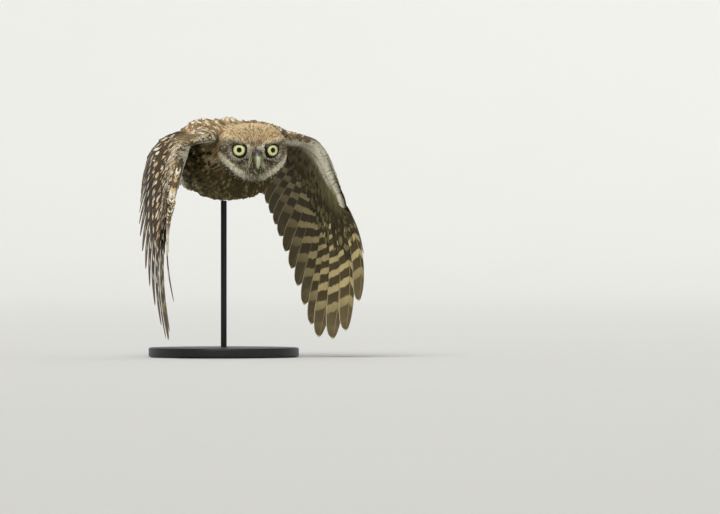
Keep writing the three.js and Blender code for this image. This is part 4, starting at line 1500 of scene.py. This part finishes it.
def edge_feathers(side):
    """Spotted feathers of the thumb and the hand's leading edge, laid along it."""
    rng = np.random.default_rng(51)
    line, way_out = hand_edge(EDGE_FORWARD[side])
    run = run_along(line)
    size = rng.uniform(13, 19, EDGE_FEATHERS)
    start = np.linspace(0, 1, EDGE_FEATHERS) * (run[-1] - size)
    share = start / run[-1]
    t = np.linspace(0, 1, COVERT_ROWS)
    step = np.interp(start[:, None] + size[:, None] * t, run, np.arange(len(line)))
    normal = unit(along(way_out, step))
    depth = np.interp(step, [0, 9, 14, 17], [2.4, 1.6, 0.9, 0.3])
    middle = along(line, step) + normal * (depth * 0.4 + 0.5 + t)[..., None]
    width = np.interp(share, EDGE_WIDTH_AT, EDGE_WIDTH)[:, None] * rounded(t, 0.25, 0.5, 0.14, 0.6)
    mark, pattern = marks(EDGE_SPOTS, EDGE_FEATHERS, rng)
    pale = smooth(0.5, 0.72, share)
    tint = mixed(MANTLE * 0.55, UNDERWING * 0.8, pale) * rng.uniform(0.7, 1.2, (EDGE_FEATHERS, 1))
    mark[:, 3] *= 1 - 0.5 * pale
    look = (tint[:, None], pattern, mark)
    vanes = Vanes(middle, normal, width, COVERT_THICKNESS, *look, sag=width * 0.14)
    corners = wing_corners(4.6 + 4.4 * share, np.zeros(EDGE_FEATHERS), 1)
    return vanes.mesh("thumb", COVERT_COLUMNS, side == "right", corners)


# Tiers of scapulars from the back of the shoulder forward, and how high they arch over each shoulder
SCAPULAR_TIERS = (0.58, 0.44, 0.3, 0.17, 0.05, -0.06)
SCAPULARS = 22
SCAPULAR_CREST = {"left": 26, "right": 32}
SCAPULAR_WIDTH, SCAPULAR_SAG = 7.2, 0.12


def scapulars(side):
    """Feathers that lie back from the shoulder over the root of the wing."""
    rng = np.random.default_rng(31 if side == "left" else 32)
    count, made = SCAPULARS, []
    t = np.linspace(0, 1, COVERT_ROWS)
    for index, start in enumerate(SCAPULAR_TIERS):
        i = np.linspace(-0.4, 4.1, count) + (0.11 if index % 2 else 0)
        base = np.stack([24 + 5.4 * i, 8 + 0 * i, 14.4 - 0.2 * i], -1)
        tip = np.stack([22 + 6 * i, 56 - 3 * i, 25.6 - 2 * i], -1)
        out = unit(np.stack([0.25 + 0.08 * i, 0 * i, 1 + 0 * i], -1))
        reach = np.interp(index, [0, 5], [0.42, 0.3]) * t
        r = start + reach * rng.uniform(0.85, 1.1, (count, 1)) + rng.uniform(-0.02, 0.02, (count, 1))
        line = base[:, None] + (tip - base)[:, None] * r[..., None]
        crest = SCAPULAR_CREST[side] * np.interp(i, [0, 2.3, 4.1], [1, 1, 0.45])[:, None]
        shoulder = smooth(0.6, -0.4, i)[:, None]
        bulge = crest * r * (1 - r) - 2.6 + 2.2 * t - 0.25 * index - shoulder
        bulge = bulge + rng.uniform(0, 2.2, (count, 1)) * t
        line = line + out[:, None] * bulge[..., None]
        mark, pattern = marks(SCAPULAR_SPOTS, count, rng)
        tint = MANTLE * rng.uniform(0.8, 1.2, (count, 1))
        width = SCAPULAR_WIDTH * rounded(t, 0.3, 0.5, 0.14, 0.55, 2.2)
        width = width * rng.uniform(0.85, 1.1, (count, 1))
        ups = np.repeat(out[:, None], COVERT_ROWS, 1)
        look = (tint[:, None], pattern, mark)
        vanes = Vanes(line, ups, width, COVERT_THICKNESS, *look, sag=width * SCAPULAR_SAG)
        made.append(vanes.mesh(f"scapular_{index}", COVERT_COLUMNS, side == "right"))
    return joined(f"scapulars_{side}", made)


def two_sided(obj, count, rows, columns):
    """The quills' upper look on the first of each feather's faces, their under look on the rest."""
    mesh = obj.data
    mesh.materials.clear()
    for name in ("quill_upper", "quill_under"):
        mesh.materials.append(bpy.data.materials[name])
    quads = count * (rows - 1) * (columns - 1)
    index = np.zeros(len(mesh.polygons), np.int32)
    index[quads : 2 * quads] = 1
    mesh.polygons.foreach_set("material_index", index)


WING_NODES = {
    side: [f"wing_{side}_{part}" for part in ("arm", "forearm", "hand")] for side in ("left", "right")
}


def build_wings():
    small = bpy.data.materials["small_feathers"]
    quill_material("quill_upper", QUILL_UPPER)
    quill_material("quill_under", QUILL_UNDER)
    for side in ("left", "right"):
        quills = wing_quills(side)
        two_sided(quills, len(remiges()[0]), QUILL_ROWS, QUILL_COLUMNS)
        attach(quills, "root")
        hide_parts(*WING_NODES[side])
        give(wing_coverts(side), small, "wing_feathers")
        give(scapulars(side), small, "body_feathers")


# The tail: feathers on each side, how far each lies below the next one in, and by how much less than
# a step those of the right side are set below the left's
TAIL_SIDE, TAIL_DROP, TAIL_OFFSET = 6, 0.95, 0.48
TAIL_WIDTH, TAIL_THICKNESS, TAIL_SAG, TAIL_ARCH = 14, 0.45, 0.4, 8


def build_tail():
    t = np.linspace(0, 1, TAIL_ROWS)
    out = unit(np.array([0, 0.1, 1.0]))
    lines, share = [], []
    for side in (-1, 1):
        for k in range(TAIL_SIDE):
            drop = TAIL_DROP * k + (0 if side > 0 else TAIL_OFFSET)
            base = np.array([side * (1 + 0.8 * k), 116, -9.5 - drop])
            tip = np.array([side * (2 + 2.5 * k), 181 - 0.8 * k, -15.5 - drop])
            arch = out * (TAIL_ARCH * t * (1 - t))[:, None]
            lines.append(base + (tip - base) * t[:, None] + arch)
            share.append(0.5 - side * 0.1)
    middle = np.stack(lines)
    from_tip = np.linalg.norm(middle - middle[:, -1:], axis=-1)
    pattern = np.stack([from_tip, 0 * from_tip, 0 * from_tip], -1)
    width = TAIL_WIDTH * rounded(t, 0.25, 0.4, 0.12, 0.84, 2.2)
    vanes = Vanes(
        middle, np.broadcast_to(out, middle.shape), width, TAIL_THICKNESS, (1, 1, 1), pattern,
        share=np.array(share)[:, None], sag=TAIL_SAG,
    )
    corners = atlas_corners(len(lines))
    tail = vanes.mesh("tail_quills", TAIL_COLUMNS, False, corners, QUILL_PATCH)
    two_sided(tail, len(lines), TAIL_ROWS, TAIL_COLUMNS)
    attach(tail, "root")
    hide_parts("tail")


# Eyes, bill, claws


def put_in_place(obj, matrix):
    """Puts a finished piece where it belongs, with its place in its mesh."""
    obj.data.transform(matrix)
    obj.matrix_world = Matrix.Identity(4)


def added(primitive, name, **settings):
    """A new primitive with nothing else selected, its place applied to its mesh."""
    bpy.ops.object.select_all(action="DESELECT")
    primitive(**settings)
    obj = bpy.context.object
    obj.name = name
    bpy.ops.object.transform_apply(location=True, rotation=True, scale=True)
    return obj


def head_matrix():
    turn = Matrix.Rotation(HEAD_YAW, 4, "Z")
    at = Vector((HEAD_AT + [HEAD_SHIFT, 0, 0]) * MM)
    return Matrix.Translation(at) @ turn


def iris_depth(sizes):
    """How far the plane of the iris lies from the middle of the eyeball."""
    return math.sqrt(sizes.eye_radius**2 - sizes.iris_radius**2)


def eye_matrix(side, sizes):
    look = Vector((side * math.sin(EYE_SPLAY), -math.cos(EYE_SPLAY), 0))
    iris = Vector((side * EYE_SPACING / 2, -FACE_DEPTH, 0)) * MM
    centre = iris - look * iris_depth(sizes)
    return head_matrix() @ Matrix.Translation(centre) @ Matrix.Rotation(side * EYE_SPLAY, 4, "Z")


# The iris: colours of its middle, its edge, the ring round the pupil and its rays, and the pupil's
# radius next to it
IRIS_INNER, IRIS_OUTER = linear((234, 233, 172)), linear((196, 198, 128))
IRIS_RING, IRIS_RAYS = linear((190, 191, 124)), linear((166, 168, 104))
PUPIL_BLACK, EYE_BLACK = (0.0015, 0.0015, 0.0015), (0.004, 0.004, 0.003)
PUPIL = 0.37
RAYS_ROUND, RAYS_ALONG = 9.0, 1.5


def eye_material():
    n = Nodes("eye")
    x, y = n.uv("Iris")
    far = n.length(n.square(x), n.square(y))
    where = n.add("ShaderNodeCombineXYZ")
    n.link(n.times(n.math("ARCTAN2", y, x), RAYS_ROUND), where.inputs[0])
    n.link(n.times(far, RAYS_ALONG), where.inputs[1])
    rays = n.add("ShaderNodeTexNoise", noise_dimensions="2D")
    n.link(where.outputs[0], rays.inputs["Vector"])
    rays.inputs["Scale"].default_value = 2.0
    colour = n.mix(n.ramp(far, 0.55, 0.88), IRIS_INNER, IRIS_OUTER)
    colour = n.mix(n.ramp(far, PUPIL + 0.12, PUPIL + 0.02), colour, IRIS_RING)
    colour = n.mix(n.times(rays.outputs["Fac"], 0.3), colour, IRIS_RAYS)
    colour = n.mix(n.ramp(far, PUPIL + 0.015, PUPIL - 0.015), colour, PUPIL_BLACK)
    colour = n.mix(n.ramp(far, 0.93, 1.0), colour, EYE_BLACK)
    return n.finish(colour, 0.4, Specular_IOR_Level=0.0, Coat_Weight=0.55, Coat_Roughness=0.05)


def plain_material(name, dark, light, patches, grain, depth, strength, roughness, **sockets):
    """Two tones in patches, with fine relief."""
    n = Nodes(name)
    n.bump(n.noise(grain), depth, strength)
    return n.finish(n.mix(n.noise(patches), dark, light), roughness, **sockets)


# The black rim of the lids: half widths to the sides, up and down, and how thick it is
LID_WIDE, LID_UP, LID_DOWN, LID_BEAD = 5.6, 4.74, 5.28, 0.8
# How far the rim stands before the iris, how much higher its upper edge is on the outer side, how
# square the upper and lower edges are, and how flat the rim is
LID_RISE, LID_SLANT, LID_FLATNESS = 0.35, 0.1, 0.5
LID_UPPER_POWER, LID_LOWER_POWER = 2.5, 2.0
# The rim's corners: where they are, how wide, and what they add to its thickness. The inner corner
# of the right eye is seen more from the side in the photo
OUTER_CORNER, INNER_CORNER = math.radians(33), math.radians(190)
CORNER_WIDTH = 0.45
LID_THICKNESS, OUTER_THICKER, LEFT_INNER_THICKER, RIGHT_INNER_THICKER = 0.7, 0.55, -0.12, 0.3
LID_DARK, LID_LIGHT = (0.006, 0.005, 0.004), (0.022, 0.018, 0.014)


def near_angle(angle, at):
    """1 at an angle round the rim, falling to 0 away from it."""
    off = (angle - at + math.pi) % (2 * math.pi) - math.pi
    return np.exp(-((off / CORNER_WIDTH) ** 2))


def shape_lids(rim, side):
    """Draws a plain ring out to the oval of the lids, with a thicker outer and inner corner."""
    co = np.array([v.co for v in rim.data.vertices]) / MM
    angle = np.arctan2(co[:, 2], co[:, 0] * side)
    tube = np.hypot(co[:, 0], co[:, 2]) - LID_WIDE
    above = co[:, 2] > 0
    high = np.where(above, LID_UP * (1 + LID_SLANT * np.cos(angle)), LID_DOWN)
    power = np.where(above, LID_UPPER_POWER, LID_LOWER_POWER)
    across, up = np.abs(np.cos(angle) / LID_WIDE), np.abs(np.sin(angle) / high)
    radius = (across**power + up**power) ** (-1 / power)
    outer, inner = (near_angle(angle, at) for at in (OUTER_CORNER, INNER_CORNER))
    inner_thicker = LEFT_INNER_THICKER if side > 0 else RIGHT_INNER_THICKER
    thick = LID_THICKNESS + OUTER_THICKER * outer + inner_thicker * inner
    thick = thick + 0.15 * smooth(0.3, 0.9, np.sin(angle))
    radius = radius + 0.4 * outer + tube * thick
    co[:, 0] = np.cos(angle) * radius * side
    co[:, 2] = np.sin(angle) * radius
    co[:, 1] = co[:, 1] * LID_FLATNESS - LID_RISE - 0.15 * outer
    rim.data.vertices.foreach_set("co", (co * MM).astype(np.float32).ravel())
    rim.data.update()


def eyeball(name, sizes):
    """A ball with a flatter front over the iris."""
    sphere = bpy.ops.mesh.primitive_uv_sphere_add
    facing = (math.pi / 2, 0, 0)
    eye = added(sphere, name, segments=64, ring_count=40, radius=sizes.eye_radius, rotation=facing)
    bpy.ops.object.shade_smooth()
    sink = iris_depth(sizes)
    co = np.array([v.co for v in eye.data.vertices])
    on_iris = co[:, [0, 2]] / sizes.iris_radius
    behind = 2.0
    put_uv(eye.data, "Iris", np.where(co[:, 1:2] < 0, on_iris, behind))
    co[:, 1] = np.where(co[:, 1] < -sink, -sink + (co[:, 1] + sink) * sizes.bulge, co[:, 1])
    eye.data.vertices.foreach_set("co", co.astype(np.float32).ravel())
    return eye


def lids(name, side):
    ring = dict(major_segments=72, minor_segments=16, major_radius=LID_WIDE * MM)
    facing = (math.pi / 2, 0, 0)
    torus = bpy.ops.mesh.primitive_torus_add
    rim = added(torus, name, rotation=facing, minor_radius=LID_BEAD * MM, **ring)
    bpy.ops.object.shade_smooth()
    shape_lids(rim, side)
    return rim


def build_eyes(sizes):
    material = eye_material()
    look = (LID_DARK, LID_LIGHT, 700.0, 2600.0, 0.0001, 0.5, 0.45)
    lid_material = plain_material("lid_skin", *look, Specular_IOR_Level=0.3)
    for side, name in SIDES:
        matrix = eye_matrix(side, sizes)
        eye = eyeball(f"eyeball_{name}", sizes)
        put_in_place(eye, matrix)
        give(eye, material, "eye", f"eye_{name}")
        rim = lids(f"lids_{name}", side)
        put_in_place(rim, matrix @ Matrix.Translation((0, -iris_depth(sizes), 0)))
        give(rim, lid_material, "eye")


# The bill in the head's own YZ plane: points of its middle line and radii there
UPPER_BILL = [
    (-17, -3.0), (-21.5, -3.1), (-25.3, -4.3), (-27.9, -7.0),
    (-28.8, -10.2), (-28.7, -13.8), (-27.8, -17.0),
]
UPPER_BILL_RADII = (4.4, 4.3, 4.3, 4.4, 3.6, 2.0, 0.5)
UPPER_BILL_FLATNESS = 0.88
LOWER_BILL = [(-17, -9.2), (-21, -10.2), (-23.8, -11.8), (-25.2, -13.8)]
LOWER_BILL_RADII = (3.0, 2.4, 1.5, 0.5)
# Colours of the horn at the root, half way and at the tip, and of its sides, which are darker as painted
# shade and leave a painted highlight along the ridge
UPPER_HORN = [linear(c) for c in ((58, 52, 44), (190, 195, 160), (172, 150, 84), (116, 118, 74))]
# The lower bill's colours are darker than the upper's: painted shade under the upper bill
LOWER_HORN_SHADED = [linear(c) for c in ((52, 46, 38), (96, 94, 66), (118, 108, 68), (84, 82, 56))]
# Heights over which root and tip turn to horn, and how far from the middle the painted shade of the
# sides begins, in metres
HORN_ROOT, HORN_TIP, HORN_SHADED_SIDE = (-0.0036, -0.0062), (-0.0125, -0.0165), (0.0006, 0.0025)
# The bare swellings round the nostrils: centre of the left one and radii
NOSTRIL_AT = (2.5, -25.2, -2.3)
NOSTRIL_RADII = (2.3, 2.2, 2.1)
CERE_DARK, CERE_LIGHT = linear((40, 36, 32)), linear((86, 78, 68))
# A claw in its own YZ plane, how deep it sits in its toe, and its colours
CLAW = [(0, 0), (2.2, 0.1), (4.2, -0.8), (5.6, -2.6), (6.0, -4.8)]
CLAW_RADII = (1.3, 1.2, 0.95, 0.6, 0.15)
CLAW_INSET = 1.2
CLAW_DARK, CLAW_LIGHT = (0.012, 0.01, 0.008), (0.05, 0.042, 0.034)


def horn_material(name, root, middle, tip, side):
    """Horn of the bill, coloured by height and by how far aside of its middle a place is: painted shade
    on the sides, a painted highlight along the ridge.
    """
    n = Nodes(name)
    where = n.add("ShaderNodeTexCoord")
    back = n.add("ShaderNodeMapping", vector_type="TEXTURE")
    back.inputs["Location"].default_value = head_matrix().translation
    back.inputs["Rotation"].default_value = (0, 0, HEAD_YAW)
    n.link(where.outputs["Object"], back.inputs["Vector"])
    across, _, up = n.split(back.outputs[0])
    grain = n.noise(600.0)
    height = n.scaled(grain, 0.0015, up)
    aside = n.absolute(n.scaled(grain, 0.0006, across))
    # painted shade on the sides, painted highlight along the middle
    horn = n.mix(n.ramp(aside, *HORN_SHADED_SIDE), middle, side)
    colour = n.mix(n.ramp(height, *HORN_ROOT), root, horn)
    colour = n.mix(n.ramp(height, *HORN_TIP), colour, tip)
    n.bump(grain, 0.0001, 0.3)
    return n.finish(colour, 0.38, Coat_Weight=0.2, Coat_Roughness=0.25)


def swept(name, path, radii, sides=16, flat=1.0):
    """A tapered horn in its own YZ plane, drawn out and turned from a disc by its open end."""
    path = [Vector((0, *p)) * MM for p in path]
    steps = [b - a for a, b in zip(path, path[1:])]
    ways = [math.atan2(s.z, s.y) for s in steps]
    bearings = [ways[0]] + [(a + b) / 2 for a, b in zip(ways, ways[1:])] + [ways[-1]]
    disc = dict(vertices=sides, radius=radii[0] * MM, fill_type="NGON", location=path[0])
    facing = (bearings[0] - math.pi / 2, 0, 0)
    obj = added(bpy.ops.mesh.primitive_circle_add, name, rotation=facing, **disc)
    bpy.ops.object.mode_set(mode="EDIT")
    bpy.ops.mesh.select_all(action="SELECT")
    for i, step in enumerate(steps):
        bpy.ops.mesh.extrude_region_move(TRANSFORM_OT_translate={"value": step})
        turn = bearings[i + 1] - bearings[i]
        bpy.ops.transform.rotate(value=-turn, orient_axis="X", center_override=path[i + 1])
        grow = radii[i + 1] / radii[i]
        bpy.ops.transform.resize(value=(grow, grow, grow), center_override=path[i + 1])
    bpy.ops.mesh.select_all(action="SELECT")
    bpy.ops.mesh.normals_make_consistent(inside=False)
    bpy.ops.transform.resize(value=(flat, 1, 1), center_override=path[0])
    bpy.ops.object.mode_set(mode="OBJECT")
    finer = obj.modifiers.new("Finer", "SUBSURF")
    finer.levels = finer.render_levels = 2
    bpy.ops.object.modifier_apply(modifier="Finer")
    bpy.ops.object.shade_smooth()
    return obj


def build_bill():
    upper = swept("upper_bill", UPPER_BILL, UPPER_BILL_RADII, 16, UPPER_BILL_FLATNESS)
    put_in_place(upper, head_matrix())
    give(upper, horn_material("bill_horn", *UPPER_HORN), "bill", "bill_upper")
    lower = swept("lower_bill", LOWER_BILL, LOWER_BILL_RADII, 12)
    put_in_place(lower, head_matrix())
    # the lower bill's horn, in painted shade
    give(lower, horn_material("lower_bill_horn", *LOWER_HORN_SHADED), "bill", "bill_lower")
    cere = plain_material("cere", CERE_DARK, CERE_LIGHT, 900.0, 2400.0, 0.0001, 0.5, 0.55)
    sphere = bpy.ops.mesh.primitive_uv_sphere_add
    for side, name in SIDES:
        swelling = added(sphere, f"nostril_{name}", segments=24, ring_count=16, radius=MM)
        bpy.ops.object.shade_smooth()
        at = Matrix.Translation(Vector((side * NOSTRIL_AT[0], *NOSTRIL_AT[1:])) * MM)
        put_in_place(swelling, head_matrix() @ at @ Matrix.Diagonal((*NOSTRIL_RADII, 1)))
        give(swelling, cere, "bill")


def claw_matrix(side, knuckle, end):
    """Place of a claw at the end of a toe, carrying on the way from its last joint."""
    ahead = unit(np.array(end, float) - knuckle)
    start = np.array(end) - ahead * CLAW_INSET
    heading = Matrix.Rotation(math.atan2(-ahead[0] * side, ahead[1]), 4, "Z")
    tilt = Matrix.Rotation(math.asin(ahead[2]), 4, "X")
    at = Vector((start * (side, 1, 1) + HEAD_AT) * MM)
    return Matrix.Translation(at) @ heading @ tilt


def build_claws():
    look = (CLAW_DARK, CLAW_LIGHT, 500.0, 1500.0, 0.0001, 0.3, 0.3)
    material = plain_material("claw_horn", *look, Coat_Weight=0.25)
    pattern = swept("claw", CLAW, CLAW_RADII, 10)
    for side, name in SIDES:
        for index, (_, knuckle, end) in enumerate(TOES, 1):
            claw = pattern.copy()
            claw.data = pattern.data.copy()
            bpy.context.scene.collection.objects.link(claw)
            claw.name = f"claw_{name}_{index}_horn"
            put_in_place(claw, claw_matrix(side, knuckle, end))
            give(claw, material, "claw", f"claw_{name}_{index}")
    bpy.data.objects.remove(pattern)


# Stand and stage

STAND_CREASE = math.radians(40)


def turned(name, radius, low, high, sides):
    """A plain cylinder between two heights on the stand's axis."""
    size = dict(vertices=sides, radius=radius, depth=high - low, location=(0, 0, (low + high) / 2))
    return added(bpy.ops.mesh.primitive_cylinder_add, name, **size)


def build_stand(stand):
    metal = Nodes("stand_metal")
    fine = metal.noise(1800.0)
    metal.bump(fine, 0.00005, 0.25)
    tone = metal.mix(metal.noise(60.0), tuple(stand.colour), tuple(v * 1.5 for v in stand.colour))
    material = metal.finish(tone, metal.scaled(fine, 0.15, 0.38), Metallic=0.5)
    base = turned("display_base", stand.base_radius, 0, stand.base_height, 128)
    bevel = base.modifiers.new("Edge", "BEVEL")
    bevel.width = 1.5 * MM
    bevel.segments = 5
    bpy.ops.object.modifier_apply(modifier="Edge")
    bpy.ops.object.shade_smooth_by_angle(angle=STAND_CREASE)
    give(base, material, "stand", "stand_base")
    low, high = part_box("stand_rod")
    rod = turned("display_rod", stand.rod_radius, low.z, high.z, 32)
    bpy.ops.object.shade_smooth_by_angle(angle=STAND_CREASE)
    give(rod, material, "stand", "stand_rod")


# The floor lies just under the stand. Its rim curves up in steps, and then rises as a wall
FLOOR_DROP = 0.5 * MM
COVE_STEPS, WALL_STEPS = 12, 2


def build_floor(stage):
    """A wide floor that curves up into a wall far behind and round the camera."""
    disc = dict(vertices=96, radius=stage.floor_radius, fill_type="NGON")
    floor = added(bpy.ops.mesh.primitive_circle_add, "floor", location=(0, 0, -FLOOR_DROP), **disc)
    bpy.ops.object.mode_set(mode="EDIT")
    bpy.ops.mesh.select_all(action="SELECT")
    before = Vector((stage.floor_radius, 0))
    for step in range(1, COVE_STEPS + WALL_STEPS + 1):
        angle = min(step / COVE_STEPS, 1) * math.pi / 2
        wide = stage.floor_radius + stage.cove * math.sin(angle)
        high = stage.cove * (1 - math.cos(angle) + max(0, step - COVE_STEPS) / 3)
        bpy.ops.mesh.extrude_region_move(TRANSFORM_OT_translate={"value": (0, 0, high - before.y)})
        grow = wide / before.x
        bpy.ops.transform.resize(value=(grow, grow, 1), center_override=(0, 0, 0))
        before = Vector((wide, high))
    bpy.ops.mesh.delete(type="ONLY_FACE")
    bpy.ops.mesh.select_all(action="SELECT")
    bpy.ops.mesh.normals_make_consistent(inside=True)
    bpy.ops.object.mode_set(mode="OBJECT")
    bpy.ops.object.shade_smooth()
    n = Nodes("floor_paint")
    tone = n.mix(n.noise(3.0), tuple(stage.floor_colour), tuple(v * 0.98 for v in stage.floor_colour))
    floor.data.materials.append(n.finish(tone, 0.95, Specular_IOR_Level=0.1))


SKY_COLOUR = (1.0, 0.985, 0.94, 1)
# Lights: name, where each shines from, how soft it is in degrees, share of the key light
LIGHTS = (("overhead", (-0.45, -0.35, 1), 50, 1.0), ("side", (-1, -0.8, 0.4), 40, 0.6))
# The photo is 720 pixels wide at 1.15 pixels a millimetre, and its middle lies off the head
PIXELS_PER_MM = 1.15
PHOTO_WIDTH = 720 / PIXELS_PER_MM * MM
CAMERA_AZIMUTH = math.radians(-27)
CAMERA_RIGHT = (360 - 249.5) / PIXELS_PER_MM * MM
CAMERA_DOWN = -(257 - 150.6) / PIXELS_PER_MM * MM
SENSOR_WIDTH = 36


def build_lights(stage):
    scene = bpy.context.scene
    world = bpy.data.worlds.new("studio")
    scene.world = world
    world.use_nodes = True
    sky = world.node_tree.nodes["Background"]
    sky.inputs["Color"].default_value = SKY_COLOUR
    sky.inputs["Strength"].default_value = stage.sky
    for name, source, softness, share in LIGHTS:
        light = bpy.data.lights.new(name, "SUN")
        light.angle = math.radians(softness)
        light.energy = stage.key * share
        lamp = bpy.data.objects.new(name, light)
        lamp.rotation_euler = Vector(source).to_track_quat("Z", "Y").to_euler()
        scene.collection.objects.link(lamp)


def build_camera(stage):
    """A camera at the head's height that frames the owl as the photo does."""
    scene = bpy.context.scene
    camera = bpy.data.cameras.new("camera")
    camera.sensor_width = SENSOR_WIDTH
    camera.lens = camera.sensor_width * stage.camera_distance / PHOTO_WIDTH
    camera.clip_end = 100
    seat = bpy.data.objects.new("camera", camera)
    back = Vector((math.sin(CAMERA_AZIMUTH), -math.cos(CAMERA_AZIMUTH), 0))
    right = Vector((math.cos(CAMERA_AZIMUTH), math.sin(CAMERA_AZIMUTH), 0))
    aim = Vector(HEAD_AT * MM) + right * CAMERA_RIGHT + Vector((0, 0, CAMERA_DOWN))
    seat.location = aim + back * stage.camera_distance
    seat.rotation_euler = (-back).to_track_quat("-Z", "Y").to_euler()
    scene.collection.objects.link(seat)
    scene.camera = seat


def build_stage(stage):
    build_floor(stage)
    bpy.context.scene.view_settings.view_transform = "Standard"
    build_lights(stage)
    build_camera(stage)


# Settings and steps of the add-on


def length(name, description, default):
    """A size in metres that the panel shows in the scene's units."""
    return bpy.props.FloatProperty(
        name=name, description=description, default=default, unit="LENGTH"
    )


def number(name, description, default):
    return bpy.props.FloatProperty(name=name, description=description, default=default)


def paint(name, description, default):
    return bpy.props.FloatVectorProperty(
        name=name, description=description, default=default, subtype="COLOR"
    )


class OwlSizes(bpy.types.PropertyGroup):
    eye_radius: length("Eye Radius", "Radius of each eyeball", 0.0076)
    iris_radius: length("Iris Radius", "Radius of each yellow iris", 0.0059)
    bulge: number("Bulge", "How far the eye bulges over its iris, next to a ball", 0.35)


class OwlStand(bpy.types.PropertyGroup):
    base_radius: length("Base Radius", "Radius of the round base", 0.066)
    base_height: length("Base Height", "Thickness of the base", 0.008)
    rod_radius: length("Rod Radius", "Radius of the rod", 0.0026)
    colour: paint("Colour", "Paint of the stand", (0.02, 0.021, 0.023))


class OwlStage(bpy.types.PropertyGroup):
    floor_colour: paint("Floor Colour", "Paint of the floor", (0.6, 0.6, 0.585))
    floor_radius: length("Floor Radius", "Radius of the flat of the floor", 6)
    cove: length("Cove", "Radius of the curve from floor to wall", 3)
    key: number("Key Light", "Strength of the overhead light", 2.3)
    sky: number("Sky", "Strength of the light all round", 0.52)
    camera_distance: length("Camera Distance", "From the owl to the camera", 4.5)


class OWL_OT_skin(bpy.types.Operator):
    """Model the skin of body, head, legs and wings as one closed surface"""

    bl_idname = "owl.skin"
    bl_label = "Skin"

    def execute(self, context):
        build_skin()
        return {"FINISHED"}


class OWL_OT_coat(bpy.types.Operator):
    """Grow the small feathers of head, body and legs"""

    bl_idname = "owl.coat"
    bl_label = "Small Feathers"

    def execute(self, context):
        build_coat()
        build_bristles()
        return {"FINISHED"}


class OWL_OT_wings(bpy.types.Operator):
    """Lay the quills, coverts and scapulars of both wings"""

    bl_idname = "owl.wings"
    bl_label = "Wings"

    def execute(self, context):
        build_wings()
        return {"FINISHED"}


class OWL_OT_tail(bpy.types.Operator):
    """Lay the tail's feathers"""

    bl_idname = "owl.tail"
    bl_label = "Tail"

    def execute(self, context):
        build_tail()
        return {"FINISHED"}


class OWL_OT_eyes(bpy.types.Operator):
    """Set both eyes in their lids"""

    bl_idname = "owl.eyes"
    bl_label = "Eyes"

    def execute(self, context):
        build_eyes(context.scene.owl_sizes)
        return {"FINISHED"}


class OWL_OT_bill(bpy.types.Operator):
    """Draw the bill and its nostrils"""

    bl_idname = "owl.bill"
    bl_label = "Bill"

    def execute(self, context):
        build_bill()
        return {"FINISHED"}


class OWL_OT_claws(bpy.types.Operator):
    """Draw the eight claws"""

    bl_idname = "owl.claws"
    bl_label = "Claws"

    def execute(self, context):
        build_claws()
        return {"FINISHED"}


class OWL_OT_stand(bpy.types.Operator):
    """Turn the base and rod of the display stand"""

    bl_idname = "owl.stand"
    bl_label = "Stand"

    def execute(self, context):
        build_stand(context.scene.owl_stand)
        return {"FINISHED"}


class OWL_OT_stage(bpy.types.Operator):
    """Set up the floor, lights and camera"""

    bl_idname = "owl.stage"
    bl_label = "Stage"

    def execute(self, context):
        build_stage(context.scene.owl_stage)
        return {"FINISHED"}


OPERATORS = (
    OWL_OT_skin,
    OWL_OT_coat,
    OWL_OT_wings,
    OWL_OT_tail,
    OWL_OT_eyes,
    OWL_OT_bill,
    OWL_OT_claws,
    OWL_OT_stand,
    OWL_OT_stage,
)
SETTINGS = (("owl_sizes", OwlSizes), ("owl_stand", OwlStand), ("owl_stage", OwlStage))


class OWL_PT_panel(bpy.types.Panel):
    """Sizes and steps of the owl"""

    bl_label = "Little Owl"
    bl_idname = "OWL_PT_panel"
    bl_space_type = "VIEW_3D"
    bl_region_type = "UI"
    bl_category = "Owl"

    def draw(self, context):
        for operator in OPERATORS:
            self.layout.operator(operator.bl_idname)
        for name, group in SETTINGS:
            box = self.layout.box()
            for key in group.__annotations__:
                box.prop(getattr(context.scene, name), key)


def register():
    for name, group in SETTINGS:
        bpy.utils.register_class(group)
        setattr(bpy.types.Scene, name, bpy.props.PointerProperty(type=group))
    for item in (*OPERATORS, OWL_PT_panel):
        bpy.utils.register_class(item)


def unregister():
    for item in reversed((*OPERATORS, OWL_PT_panel)):
        bpy.utils.unregister_class(item)
    for name, group in reversed(SETTINGS):
        delattr(bpy.types.Scene, name)
        bpy.utils.unregister_class(group)


def main():
    register()
    for operator in OPERATORS:
        getattr(bpy.ops.owl, operator.bl_idname.split(".")[1])()


if __name__ == "__main__":
    main()
